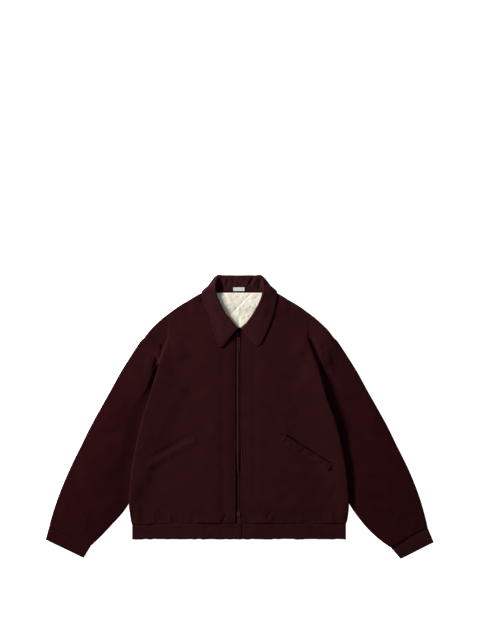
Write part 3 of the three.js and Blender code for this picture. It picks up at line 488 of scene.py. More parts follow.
weltEnds = {"left": ((113.4, -67.5), (244, -140)), "right": ((116, -59.5), (245.7, -140.4))}
weltLook = {
    "width": 22, "wall": 1.5, "steps": 130, "across": 38, "stitchLine": 2.6, "stitchDepth": 0.7,
    "upper": 2.0, "tack": 12.0, "mouthDeep": 7.4, "mouthSteps": 90,
    "left": {"opening": 0.0, "above": -2.0, "mouth": 0.3, "mouthFrom": 0.09, "waver": 0.3, "bumps": 0.4,
             "feather": 17, "rolled": 0.25, "line": 0.45},
    "right": {"opening": 3.2, "above": -0.5, "mouth": 3.9, "mouthFrom": 0.03, "waver": 1.9, "bumps": 1.3,
              "feather": 8, "rolled": 1.0, "line": 1.0},
}
hemSpans = [  # from, to and depth of the stretches where the seam over the hem band sinks in
    (-276, -232, 2.6), (-116, -43, 4.4), (35, 89, 4.4), (89, 165, 1.6), (200, 220, 1.4), (232, 292, 4.2),
]


def seamWave(x):  # the seam over the hem band wanders up and down
    return frontLook["seamWave"] * uneven(x, 5.0, 26, 18) - 4 * smooth((-x - 220) / 18)


def hemDepth(x):  # how deep the seam over the hem band lies, uneven along its length
    depth = 1.5 + 0.9 * uneven(x, 6.0, 13, 19)
    for low, high, more in hemSpans:
        depth = depth + more * smooth((x - low) / 12 + 0.5) * smooth((high - x) / 12 + 0.5)
    return depth


def frontRelief(x, y, name):
    look, welt, side = frontLook, weltLook[name], sides[name]
    lift = look["wave"] * uneven(x, y, 85, 11) + look["ripple"] * uneven(x, y, 30, 12)
    lift = lift + creased(x, y, frontCreases[name]) + creased(x, y, underarmCreases[name])
    (x0, y0), (x1, y1) = weltEnds[name]
    opening = creased(side * x, y, [(x0 + 7, y0 + 12.4, x1 + 4, y1 + 12.2, 2.0, -welt["opening"], 1.0)])
    shade = creased(side * x, y, [(x0 + 10, y0 + 20, x1 + 10, y1 + 20, 7, welt["above"], 1.0)])
    inside = foldX(y, side) - side * x
    ridge = look["sideRidge"][name] * smooth(1 - inside / 50) * smooth((y + 250) / 90)
    ridge = ridge * (1 - smooth((y - 60) / 90))
    lift = (lift + opening + shade + ridge) * belowShoulder(side * x, y)
    fromHem = y - jacketCut["hemSeam"]
    hemWave = uneven(x, 3.0, 11, 13) + 0.6 * uneven(x, 9.0, 24, 14)
    return lift + look["hemPuckers"] * hemWave * np.exp(-fromHem / 13) * smooth(fromHem / 2)


def unit(a, b):
    d = b - a
    return d / np.linalg.norm(d, axis=-1, keepdims=True)


def frontGrid(name, side):
    c, look, steps = jacketCut, frontLook, frontSteps
    plan = frontPlan(side)
    edge = np.array(steps["edge"]) / steps["wide"]
    flat = np.r_[edge[:-1], np.linspace(edge[-1], 1, steps["across"])]
    cells = np.r_[flat, np.ones(len(steps["roll"]))]
    angles = np.radians(np.r_[np.full(len(flat), 90.0), steps["roll"]])
    turned = (1 - np.sin(angles)) / (1 - math.sin(math.radians(steps["roll"][-1])))

    def makeRow(v, topAngle):
        share = 1 - float(smooth((v - 0.77) / 0.06))  # the side roll ends where the armhole begins
        radius = look["rim"] + (c["sideRadius"][name] - look["rim"]) * share
        edgePoint = plan(1.0, v)
        outward = unit(plan(0.93, v), edgePoint)
        span = float(np.linalg.norm(edgePoint - plan(0.0, v)))
        crestZ = float(frontTop(*(edgePoint - outward * radius), side))
        onSleeve = float(smooth((edgePoint[0] - tuckX(edgePoint[1]) + 45) / 45))
        lipZ = (c["wall"] + 0.5) * (1 - onSleeve) + (float(sleeveLow(edgePoint[1], side)) + 1.3) * onSleeve
        u = cells * (1 - radius / span)
        up = unit(plan(u, np.full_like(u, 0.97)), plan(u, np.ones_like(u)))
        topRadius = 0 if topAngle is None else look["topRoll"]
        crest = plan(u, np.full_like(u, v)) - up * topRadius
        sideOut = np.where(cells < 1, 0, radius * np.cos(angles))
        sideFall = (0.4 * (1 - share) + (crestZ - lipZ) * share) * turned
        height = frontTop(crest[:, 0], crest[:, 1], side)
        overBack = height - backTop(crest[:, 0], crest[:, 1], 8, side) - c["layerGap"]
        topOut, topFall = 0, 0
        if topAngle is not None:
            a = math.radians(topAngle)
            topOut, topFall = topRadius * math.cos(a), overBack / 1.1 * (1 - math.sin(a))
        xy = crest + outward * sideOut[:, None] + up * topOut
        fromEdge = cells * span
        rimFall = look["rim"] * (1 - roundedRim(fromEdge, look["rim"]))
        groove = look["stitchDepth"] * gauss(fromEdge, look["stitchLine"], 1.1)
        x, y = side * xy[:, 0], xy[:, 1]
        pucker = look["puckers"] * uneven(y, 5.0 + side, 9, 15) * np.exp(-fromEdge / 8)
        z = height - sideFall - topFall - rimFall - groove + pucker * smooth(fromEdge / 3)
        fromHem = y - c["hemSeam"]
        depth = hemDepth(x)
        z = z + 0.75 * (depth - 1) * smooth(fromHem / 3) * np.exp(-fromHem / 15) * smooth(fromEdge / 12)
        foot = np.minimum(z, 4.7 + 1.6 * smooth(1 - (depth - 0.8) / 2.4))
        z = foot + (z - foot) * roundedRim(fromHem, look["seamRound"])
        relief = frontRelief(x, y, name) * (1 - 0.6 * smooth(1 - fromEdge / 12))
        z = z + relief * (1 - 0.8 * turned)
        return np.stack([x, y + seamWave(x) * (1 - smooth(fromHem / 14)), z], -1)

    rows = np.r_[[0, 0.003, 0.006, 0.01], np.linspace(0.015, 1, steps["rows"])[:-1]]
    grid = [makeRow(v, None) for v in rows] + [makeRow(1.0, a) for a in (90, 74, 58, 42, 26, 10, -6)]
    under = grid[0].copy()  # a seam allowance that goes on beneath the hem band
    under[:, 1] -= 3.5
    under[:, 2] = np.maximum(under[:, 2] - 2.6, backTop(under[:, 0], under[:, 1]) + 0.4)
    return np.stack([under] + grid)


frontGrids = {name: frontGrid(name, side) for name, side in sides.items()}
for name, side in sides.items():
    outer = frontGrids[name]
    inner = outer.copy()
    onBack = backTop(outer[..., 0], outer[..., 1], 8) + 0.4
    inner[..., 2] = np.maximum(outer[..., 2] - jacketCut["wall"], onBack)
    inner[..., 2] = np.minimum(inner[..., 2], outer[..., 2] - 0.3)
    rolled = len(frontSteps["roll"])
    inner[:, -rolled:, 0] -= side * np.minimum(jacketCut["wall"], 0.3 * np.arange(1, rolled + 1))
    piece = clothPiece("frontPanel_" + name, outer, inner, finishes["shell"])
    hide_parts("front_" + name)
print("jacket: fronts laid")

# back panel

backLook = {"rows": 120, "across": 121, "dent": 0.5, "halfAtArm": 255.4}


def backGrid():
    c = jacketCut
    half = backLook["halfAtArm"]

    def sideX(y):
        y = np.asarray(y, float)
        underFold = np.minimum(foldX(y, -1), foldX(y, 1)) - 1
        return np.where(y < armEnd[1], np.minimum(underFold, tuckX(y) - 1.5), tuckX(y) - 0.6)

    ys = np.array([c["hemSeam"] - 3, -275, -240, -220, -170, -110, -40, 30, 75, 110, 140, 165, 188, 210])
    xs = sideX(ys)
    topRows = [(0, c["neckline"]), (40, c["neckline"] + 0.2), (62, c["neckline"] + 0.8), (84, 337.6)]
    topRows += [(x, y - 0.6) for x, y in shoulderRows[1:-1]] + [(half, 210)]

    def topLine(t):
        x = -half + 2 * half * np.asarray(t, float)
        return np.stack([x, np.interp(np.abs(x), *zip(*topRows))], -1)

    def sideLine(mirror):
        def at(t):
            i = np.asarray(t, float) * (len(ys) - 1)
            k = np.arange(len(ys))
            return np.stack([mirror * np.interp(i, k, xs), np.interp(i, k, ys)], -1)
        return at
    plan = patch(sideLine(-1), sideLine(1), lineBetween((-xs[0], ys[0]), (xs[0], ys[0])), topLine)
    u, v = np.meshgrid(np.linspace(0, 1, backLook["across"]), np.linspace(0, 1, backLook["rows"]))
    xy = plan(u, v)
    return np.dstack([xy, backTop(xy[..., 0], xy[..., 1])])


backUpper = backGrid()
backLower = backUpper.copy()
backLower[..., 2] -= jacketCut["wall"]
dent = backLook["dent"] * (0.5 + 0.5 * uneven(backLower[..., 0], backLower[..., 1], 60, 21))
backLower[2:-2, 2:-2, 2] += dent[2:-2, 2:-2]
piece = clothPiece("backPanel", backUpper, backLower, finishes["shell"])
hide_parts("back")
print("jacket: back laid")

# sleeves and cuffs, each a flattened tube

sleeveLook = {
    "steps": 150, "top": 74, "bottom": 14, "round": 9, "wave": 1.0, "ripple": 0.4, "least": 1.6,
    "left": {"arch": 6.5, "gather": 0.15, "cuffDrop": 0.2},
    "right": {"arch": 0.0, "gather": 0.5, "cuffDrop": 1.1},
}
sleeveOuter = {"left": [(256, 211), (267, 200), (289, 167), (319, 119), (346, 70), (373, 22), (400, -27),
                        (424, -76), (448, -124), (470, -173), (489, -221), (505, -270), (512, -297)]}
sleeveOuter["right"] = sleeveOuter["left"][:10] + [(489, -225), (503, -274), (509, -301)]
sleeveInner = {"left": [(170, 75), (190, 30), (215, -40), (240, -110), (267, -174), (293, -229), (313, -260),
                        (341, -291), (371, -323), (399, -349.5)]}
sleeveInner["right"] = sleeveInner["left"][:6] + [(315, -264), (345, -302), (380, -334.5), (410, -355.5)]
cuffEnd = {"left": ((521.8, -332.6), (418.8, -382)), "right": ((525, -339.6), (435.8, -385.2))}
armCreases = [  # on both arms, as on the right one
    (262, 120, 300, 40, 16, 1.0), (300, 40, 372, -22, 14, 1.1, -6), (318, -40, 392, -66, 12, -1.1),
    (330, -150, 440, -156, 15, 1.1, -5), (350, -232, 440, -210, 12, -1),
    (300, -90, 330, -190, 20, -1.2), (360, 20, 410, -90, 22, 0.9),
]
sleeveCreases = {
    "left": [(-x0, y0, -x1, y1, width, height, -sum(bow))
             for x0, y0, x1, y1, width, height, *bow in armCreases],
    "right": armCreases + [(240, 176, 252, 104, 8, 1.2), (432, -262, 418, -300, 7, 1.1),
                           (478, -262, 470, -300, 8, 1.1)],
}
sleeveCreases["left"] += [
    (-238, 172, -246, 110, 8, 1.2), (-432, -262, -408, -282, 6, 1.3), (-420, -316, -410, -270, 8, 0.8),
    (-478, -262, -462, -236, 10, 1), (-456, -325, -432, -324, 4, -1.2),
]
cuffLook = {
    "steps": 26, "height": 9.0, "seamLong": 113,
    "left": {"puff": 0.2, "gather": 0.15, "topRound": 0.2, "tilt": 0.0, "seamBow": 0.0},
    "right": {"puff": 0.8, "gather": 0.4, "topRound": 0.9, "tilt": 2.6, "seamBow": 2.4},
}


def flatTube(plan, steps, heightOf, side):  # rings round a tube that lies flat, and round its bore
    look, wall = sleeveLook, jacketCut["wall"]
    outer, inner = [], []
    arc = np.radians(np.linspace(-90, 90, look["round"] + 2)[1:-1])
    for t in steps:
        a, b = plan(0.0, t), plan(1.0, t)
        width = float(np.linalg.norm(b - a))
        edge = np.array([float(heightOf(*plan(u, t), u, t)) for u in (1.0, 0.0)])
        radius = edge / 2 / width
        bottom = np.linspace(radius[1], 1 - radius[0], look["bottom"])
        top = np.linspace(1 - radius[0], radius[1], look["top"])
        u = np.r_[bottom, 1 - radius[0] + radius[0] * np.cos(arc), top, radius[1] - radius[1] * np.cos(arc)]
        place = plan(u, np.full_like(u, t))
        ceiling = heightOf(place[:, 0], place[:, 1], u, t)
        n, m, r = look["bottom"], look["top"], look["round"]
        z = np.r_[np.zeros(n), edge[0] * (0.5 + 0.5 * np.sin(arc)), ceiling[n + r:n + r + m],
                  edge[1] * (0.5 - 0.5 * np.sin(arc))]
        ring = np.stack([side * place[:, 0], place[:, 1], z], -1)
        middle = plan(0.5, t)
        bore = ring.copy()
        squeeze = 1 - wall * 1.1 / (width / 2)
        bore[:, 0] = side * middle[0] + (ring[:, 0] - side * middle[0]) * squeeze
        bore[:, 1] = middle[1] + (ring[:, 1] - middle[1]) * squeeze
        floor, roof = wall, np.maximum(wall + 0.5, ceiling - wall)
        bore[:, 2] = floor + (roof - floor) * np.clip(z / np.maximum(ceiling, 1), 0, 1)
        outer.append(ring)
        inner.append(bore)
    return np.stack(outer), np.stack(inner)


cuffGrids = []
for name, side in sides.items():
    outerRows, innerRows = sleeveOuter[name], sleeveInner[name]
    top = joined(lineBetween(underarm, armEnd), lineBetween(armEnd, shoulderEnd), jacketCut["sleeveShare"])
    inEnd, outEnd = np.array(innerRows[-1], float), np.array(outerRows[-1], float)
    bow = (outEnd - inEnd)[::-1] * [-1, 1] * cuffLook[name]["seamBow"] / cuffLook["seamLong"]
    cuffSeam = curveThrough([inEnd, (inEnd + outEnd) / 2 + bow, outEnd])
    plan = patch(curveThrough(innerRows), curveThrough(outerRows), top, cuffSeam)

    def sleeveHeight(x, y, u, t):
        look, own = sleeveLook, sleeveLook[name]
        relief = look["wave"] * uneven(side * x, y, 70, 31) + look["ripple"] * uneven(side * x, y, 26, 32)
        relief = relief + creased(side * x, y, sleeveCreases[name])
        seam = smooth((1 - t) / 0.012)
        gather = own["gather"] * uneven(u * 260, 2.0, 17, 34) * math.exp(-(1 - t) / 0.035)
        atBody = (1 - smooth(t / 0.16)) * smooth((u - 0.43) / 0.05)
        arch = own["arch"] * (np.sin(np.pi * np.clip(u, 0, 1)) - 0.4) * smooth((1 - t) / 0.3)
        level = sleeveTop(x, y, side, arch) * (1 - atBody) + (frontTop(x, y, side) - 0.1) * atBody
        level = level + creased(side * x, y, underarmCreases[name]) * belowShoulder(x, y)
        height = level - own["cuffDrop"] * (1 - seam) + relief * seam * smooth(t / 0.05 + 0.2) + gather * seam
        return np.maximum(height, look["least"])

    sleeveSteps = np.r_[np.linspace(0, 0.98, sleeveLook["steps"]), 0.986, 0.992, 0.996, 1]
    outer, inner = flatTube(plan, sleeveSteps, sleeveHeight, side)
    inward = outer[0] - outer[2]  # the tube goes on a little, under the body
    hidden = outer[0] + inward / np.maximum(np.linalg.norm(inward[:, :2], axis=1, keepdims=True), 1e-6) * 7
    hidden[:, 2] = outer[0, :, 2] * 0.55
    outer = np.concatenate([hidden[None], outer])
    inner = np.concatenate([(inner[0] + (hidden - outer[1]) * [1, 1, 0])[None] * [1, 1, 0.9], inner])
    piece = clothPiece("sleevePanel_" + name, outer, inner, finishes["sleeve_" + name], ring=True)
    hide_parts("sleeve_" + name)

    outCorner, inCorner = cuffEnd[name]
    cuffPlan = patch(lineBetween(innerRows[-1], inCorner), lineBetween(outerRows[-1], outCorner),
                     cuffSeam, lineBetween(inCorner, outCorner))

    def cuffHeight(x, y, u, t):
        own = cuffLook[name]
        gathered = own["gather"] * uneven(u * 110, 4.0, 9, 35) * (1 - 0.6 * t)
        rim = own["topRound"] * (1 - smooth(t / 0.07)) + 1.5 * (1 - smooth((1 - t) / 0.05))
        level = cuffLook["height"] + own["tilt"] * (u - 0.5) + own["puff"] * math.sin(math.pi * t)
        return level + gathered - rim + 0.3 * uneven(side * x, y, 22, 33)

    cuffSteps = np.r_[0, 0.02, 0.05, 0.09, np.linspace(0.14, 0.88, cuffLook["steps"]), 0.93, 0.96, 0.98, 1]
    outer, inner = flatTube(cuffPlan, cuffSteps, cuffHeight, side)
    piece = clothPiece("cuffBand_" + name, outer, inner, finishes["cuff_" + name], ring=True)
    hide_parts("cuff_" + name)
    cuffGrids.append(outer)
print("jacket: sleeves and cuffs laid")

# hem band

bandLook = {"tall": 41, "end": 5.9, "rows": 34, "puckers": 1.0, "scallop": 0.9, "wall": 2.4,
            "stitchLine": 11.0, "across": 200, "under": 60}
bandRows = np.r_[0, 0.01, 0.03, 0.06, np.linspace(0.1, 0.9, bandLook["rows"]), 0.94, 0.97, 0.99, 1]


def bandTop(x):
    return 7 + 2.6 * smooth(1 - (hemHalf - np.abs(x)) / 60)


def bandGrid():  # from the zip round the left side, under the body and back to the zip
    c, look = jacketCut, bandLook
    radius = float(bandTop(hemHalf)) / 2
    turn = np.radians(np.linspace(80, -80, 17))
    far, rise = hemHalf - radius, radius + radius * np.sin(turn)
    left = np.linspace(look["end"], -far, look["across"])
    right = np.linspace(far, c["rightEdge"], look["across"])
    roll = far + radius * np.cos(turn)
    x = np.r_[left, -roll, np.linspace(-far, far, look["under"]), roll[::-1], right]
    z = np.r_[bandTop(left), rise, np.zeros(look["under"]), rise[::-1], bandTop(right)]
    isFront = np.ones(len(x))
    isFront[look["across"]:-look["across"]] = 0
    outer = []
    for t in bandRows:
        y = c["hemSeam"] - 0.05 + (c["hemBottom"] - c["hemSeam"]) * t
        down, up = t * look["tall"], (1 - t) * look["tall"]
        rimFall = 2.2 * (1 - roundedRim(min(down, up), 2.4))
        wave = uneven(x, 3.0, 11, 41) * math.exp(-down / 9)
        wave = wave + 0.7 * uneven(x, 8.0, 12, 42) * math.exp(-up / 12)
        soft = 0.4 * uneven(x, y, 34, 43)
        scallop = look["scallop"] * uneven(x, 2.0, 12, 44) * smooth((t - 0.8) / 0.2)
        rimFall = rimFall + 0.55 * hemDepth(x) * (1 - roundedRim(down, 4.5))
        stitched = 0.35 * gauss(down, look["stitchLine"], 1.3)
        nearZip = 0.8 * gauss(x - look["end"], 4.8, 1.2) * smooth(x / 3)
        lift = look["puckers"] * wave + soft - rimFall - stitched - nearZip
        wander = isFront * seamWave(x) * (1 - smooth(t / 0.35))
        outer.append(np.stack([x, y + scallop + wander, z + lift * isFront * smooth(z / 3)], -1))
    outer = np.stack(outer)
    inner = outer - normalsOf(outer, 5, 50) * look["wall"]
    inner[..., 1] = outer[..., 1]
    return outer, inner


bandOuter, bandInner = bandGrid()
piece = clothPiece("hemBand", bandOuter, bandInner, finishes["shell"])
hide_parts("hem_band")
print("jacket: hem band laid")

# collar

collarRows = [  # edge, reach, fold, seam, lift: from the centre front round to the middle of the back
    ((44.5, 186), None, (2, 237.5, 12.4), (15.6, 243.8, 6.2), 2.4),
    ((54, 187), None, (5, 240, 13), (20.5, 248.4, 6.1), 2.4),
    ((61, 208), None, (11, 247, 14), (26.5, 254.6, 6.1), 1.4),
    ((70, 234), None, (24, 262, 15.2), (37, 267, 6.1), 0.6),
    ((80, 270), None, (40, 283, 16.4), (50, 286, 6.2), 0.8),
    ((94, 300), None, (52, 306, 17.2), (62.8, 307.5, 8), 0.8),
    ((101.4, 321), None, (60, 328, 18.8), (73.5, 324.5, 9), 0.5),
    ((100.8, 333.6, 11), (85, 347, 18.5), (62, 341, 19.2), (81.4, 340, 9.2), 0),
    ((100.8, 335, 6), (85, 354, 15), (62.2, 349, 19), (77, 339.6, 8.6), 0),
    ((98.4, 333.6, 1.2), (81, 361, 6), (62, 356, 18), (72, 338.6, 8), 0),
    ((95, 322, 1), (79.4, 371, 4), (61, 363, 16), (66, 337, 7.4), 0),
    ((85, 314, 1), (66, 391, 3), (57, 373.6, 12), (59, 335.6, 7.2), 0),
    ((45, 313, 1), (42, 391.5, 2.5), (40, 375.6, 9), (40, 335.2, 7.2), 0),
    ((0, 313, 1), (0, 391.5, 2.5), (0, 375.6, 8.6), (0, 335.2, 7.2), 0),
]
rightFront = [
    ((48, 187), None, (4.4, 237, 10.5), (14.6, 243.4, 6.2), 0.4),
    ((57, 193), None, (8.8, 241, 10.8), (20.4, 248.2, 6.1), 0.6),
    ((69, 215), None, (18, 250, 11.8), (29.4, 256.4, 6.1), 1.2),
    ((80, 240), None, (29, 264, 13.2), (39.8, 269, 6.1), 1.2),
    ((91, 270), None, (43, 284, 15.2), (51.8, 286.6, 6.2), 1.2),
    ((98, 299), None, (55.6, 308, 17.2), (64.4, 308.4, 8), 1.2),
    ((102, 321), None, (63, 330, 18.8), (74, 324.5, 9), 0.8),
]
collarCreases = [
    (40, 377, 24, 350, 3.2, -3.2), (47, 374, 36, 348, 4, 1.8), (58, 374, 54, 338, 4.5, -3.0),
    (-27, 370, -36, 348, 4, -2.4), (-50, 372, -46, 338, 7, -3.4), (10, 372, 6, 352, 7, 1.0),
    (26, 366, 16, 346, 5, 1.2), (-12, 372, -18, 350, 5, -1.2),
    (-75, 300, -40, 240, 9, 1.0), (-66, 250, -52, 205, 6, -0.9), (72, 300, 52, 240, 10, 0.9),
    (84, 330, 90, 290, 8, -0.8), (-88, 330, -84, 300, 8, -0.8),
]
collarLook = {"wall": 2.0, "sections": 330, "across": 56, "stitchLine": 5.5, "stitchDepth": 0.9,
              "ripple": 0.5, "standRipple": 0.5, "foldRadius": 1.3, "leafShare": 0.62,
              "rightWider": {"edge": 1.02, "reach": 1.025, "fold": 1.03}, "rightLower": 1.5}


def collarSection(row, side):
    edgeAt, reachAt, foldAt, seamAt, lift = row
    half = collarLook["wall"] / 2
    fold, seam = np.array(foldAt, float), np.array(seamAt, float)
    if reachAt:
        edge, reach = np.array(edgeAt, float), np.array(reachAt, float)
        split = np.clip((fold[2] - 11.5) / 1.8, 0, 1) * 1.2
    else:
        edge = np.array([*edgeAt, float(frontTop(*edgeAt, side)) + 0.6 + half + lift])
        reach = edge + (fold - edge) * 0.5 + [0, 0, 1.8]
        split = 1.25

    def flatUnit(v):
        v = v * [1, 1, 0]
        return v / np.linalg.norm(v)
    leafStart = fold + flatUnit(reach - fold) * collarLook["foldRadius"] + [0, 0, split]
    standStart = fold + flatUnit(seam - fold) * collarLook["foldRadius"] - [0, 0, split]
    points = [(1 - t) ** 2 * edge + 2 * t * (1 - t) * reach + t * t * leafStart
              for t in (0, 0.16, 0.34, 0.52, 0.68, 0.84, 1)]
    points += [fold, standStart] + [standStart + (seam - standStart) * t for t in (0.35, 0.7, 1)]
    return np.array(points) * [side, 1, 1]


def rightRow(row):  # a row at the back of the neck, as it lies on the right
    edge, reach, fold, seam, lift = row
    wider = collarLook["rightWider"]
    low = fold[2] - collarLook["rightLower"] * smooth((fold[2] - 12) / 4)
    return ((edge[0] * wider["edge"], *edge[1:]), (reach[0] * wider["reach"], *reach[1:]),
            (fold[0] * wider["fold"], fold[1], low), seam, lift)


def collarGrids():
    look = collarLook
    right = rightFront + [rightRow(row) for row in collarRows[len(rightFront):-1]]
    sections = [collarSection(row, -1) for row in collarRows] + [collarSection(row, 1) for row in right[::-1]]
    grid = refine(np.stack(sections), look["sections"])
    grid = refine(grid.transpose(1, 0, 2), look["across"]).transpose(1, 0, 2)
    n = normalsOf(grid, 20, 5)
    rows, cols = meanLength(grid), meanLength(grid, 1)
    fromEnd = np.minimum(rows, rows[-1] - rows)[:, None]
    fromEdge = np.minimum(fromEnd, cols[None, :])
    half = look["wall"] / 2
    body = np.maximum(roundedRim(fromEdge, half), math.sqrt(0.02))[..., None]
    leafEnd = cols[-1] * look["leafShare"]
    leaf, stand = smooth((leafEnd - cols) / 12)[None, :], smooth((cols - leafEnd) / 6)[None, :]
    groove = look["stitchDepth"] * gauss(fromEdge, look["stitchLine"], 1.2) * leaf
    x, y, z = grid[..., 0], grid[..., 1], grid[..., 2]
    relief = look["ripple"] * uneven(x, y, 28, 51) + creased(x, y, collarCreases) * (z > 5)
    relief = relief + look["standRipple"] * uneven(x, y, 9, 52) * stand
    relief = relief * smooth(fromEdge / 8)
    middle = grid + n * (relief - groove * 0.5)[..., None]
    return middle + n * half * body, middle - n * half * body, fromEdge


collarOuter, collarInner, collarFromEdge = collarGrids()
piece = clothPiece("collarLeafAndStand", collarOuter, collarInner, finishes["collar"])
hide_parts("collar")
print("jacket: collar folded down")

# quilted lining and bare label in the back neck

liningLook = {"pitch": 66, "puff": 1.1, "edge": 1.0, "bowl": 3.4, "bowlRight": 1.6, "low": 239, "high": 333,
              "tuckedIn": 4, "rows": 110, "across": 140}


def neckHalf(y, rows):  # half the width of the neck's opening, at the collar's fold
    return np.interp(y, *zip(*[(fold[1], fold[0]) for _, _, fold, _, _ in rows[:8]]))


def quiltHeight(x, y):  # diamonds, with their seams sunk in
    def wave(value):
        return np.abs(np.sin(np.pi * value / liningLook["pitch"]))
    rising = np.minimum(1, 5 * wave((y - x - 297) / math.sqrt(2)))
    falling = np.minimum(1, 5 * wave((y + x - 240) / math.sqrt(2)))
    return 0.3 + rising * (0.4 + 0.3 * falling)


def liningGrids():
    look = liningLook
    right = rightFront + collarRows[7:]
    y = np.linspace(look["low"], look["high"] - 0.4, look["rows"])[:, None]
    low = -neckHalf(y, collarRows) - look["tuckedIn"]
    high = neckHalf(y, right) * 1.02 + look["tuckedIn"]
    t = np.linspace(0, 1, look["across"])[None, :]
    x = low + (high - low) * t
    yy = np.broadcast_to(y, x.shape)
    floor = backTop(x, yy) + 0.5
    ends = np.minimum((yy - look["low"]) * 2 + 2, (look["high"] - yy) * 3 + 2)
    edge = np.minimum(np.minimum(x - low, high - x), ends)
    puff = look["puff"] * smooth((edge - 3) / 12) * quiltHeight(x, yy)
    fine = (0.5 * uneven(x, yy, 8, 61) + 0.3 * uneven(x, yy, 4.5, 63)) * smooth(edge / 8)
    bowl = look["bowl"] * smooth(1 - (x - low) / 28) + look["bowlRight"] * smooth(1 - (high - x) / 16)
    bowl = bowl * smooth((look["high"] - yy) / 8 + 0.2)
    top = np.dstack([x, yy, floor + look["edge"] + puff + fine + bowl])
    return top, np.dstack([x, yy, floor])


piece = clothPiece("quiltedLining", *liningGrids(), finishes["lining"])
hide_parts("back_lining")

labelLook = {"width": 30.4, "height": 10.2, "bottom": 336.9, "wall": 0.6, "rows": 14, "across": 30}


def labelGrids():
    look = labelLook
    section = collarSection(collarRows[-1], 1)[-4:][::-1]
    y, x = crossed(np.linspace(look["bottom"], look["bottom"] + look["height"], look["rows"]),
                   np.linspace(-look["width"] / 2, look["width"] / 2, look["across"]))
    z = np.interp(y, section[:, 1], section[:, 2]) + 1.5 + 0.2 * np.cos(x / 5.2) + 0.15 * uneven(x, y, 7, 62)
    fold = 0.35 * smooth((np.abs(x) - look["width"] / 2 + 2.4) / 0.4)
    return np.dstack([x, y, z + look["wall"] + fold]), np.dstack([x, y, z])


piece = clothPiece("bareLabel", *labelGrids(), finishes["label"])
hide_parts("label")
print("jacket: lining and label laid")

# welt pockets

def heightOver(grid, x, y):  # height of a panel's own surface at a point
    flat = grid.reshape(-1, 3)
    out = np.empty(x.shape)
    for k, (a, b) in enumerate(zip(x.ravel(), y.ravel())):
        near = (flat[:, 0] - a) ** 2 + (flat[:, 1] - b) ** 2
        best = np.argpartition(near, 6)[:6]
        weight = 1 / (near[best] + 0.05)
        out.ravel()[k] = (flat[best, 2] * weight).sum() / weight.sum()
    return out


weltTops = {}
for name, side in sides.items():
    look, own = weltLook, weltLook[name]
    start, end = (np.array(p, float) for p in weltEnds[name])
    run = end - start
    length = float(np.linalg.norm(run))
    aside = np.array([-run[1], run[0]]) / length

    def onFront(t, off):  # share of the welt's length, and millimetres up from its middle line
        x, y = side * (start[0] + run[0] * t + aside[0] * off), start[1] + run[1] * t + aside[1] * off
        return x, y, heightOver(frontGrids[name], x, y)

    t, s = crossed(np.linspace(0, 1, look["steps"]), np.linspace(-0.5, 0.5, look["across"]))
    bow = 1.2 * np.sin(np.pi * t) + own["waver"] * uneven(t * length, 3.0, 15, 73) * np.sin(np.pi * t)
    x, y, under = onFront(t, s * look["width"] + bow)
    fromLow, fromTip = (0.5 + s) * look["width"], np.minimum(t, 1 - t) * length
    fromEdge = np.minimum((0.5 - np.abs(s)) * look["width"], fromTip)
    sunk = look["stitchDepth"] * (0.25 + smooth((t - 0.25) / 0.2) * smooth((0.9 - t) / 0.2))
    groove = own["line"] * sunk * gauss(fromLow, look["stitchLine"], 0.9)
    groove = groove + 0.9 * gauss(fromTip, look["tack"], 1.1) * smooth(fromEdge / 3)
    groove = groove + 0.6 * gauss(fromTip, 3, 0.9)
    roll = look["upper"] * own["rolled"] * smooth((0.5 - s) / 0.5) * smooth(fromLow / 9)
    puff = roll + own["bumps"] * uneven(x, y, 12, 71) * smooth(fromEdge / 4)
    least = 0.35 * own["line"]
    rounded = roundedRim(fromEdge, 1.5) * (least + (1 - least) * smooth(fromLow / own["feather"]))
    top = np.dstack([x, y, under + 0.1 + look["wall"] * rounded - groove + puff])
    piece = clothPiece("weltPocket_" + name, top, np.dstack([x, y, under - 0.4]), finishes["shell"])
    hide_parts("welt_" + name)
    weltTops[name] = top
    # a near-black strip along each pocket's opening, painted shadow in the mouth
    rows = np.r_[np.linspace(0, 0.7, 4), 0.78, 0.86, 0.93, 1]
    t, s = crossed(np.linspace(own["mouthFrom"], 0.95, look["mouthSteps"]), rows)
    wide = look["mouthDeep"] + own["mouth"] + own["waver"] * uneven(t * 140, 7.0, 14, 72)
    x, y, under = onFront(t, look["width"] / 2 - look["mouthDeep"] + s * wide)
    z = under + np.where(s < 0.72, 0.1, 0.55)
    strip, below = np.dstack([x, y, z]), np.dstack([x, y, z - 0.4])
    piece = clothPiece("pocketMouthShadow_" + name, strip, below, finishes["mouth"])
print("jacket: welt pockets laid")

# zip: tapes, teeth, box, slider and pull tab

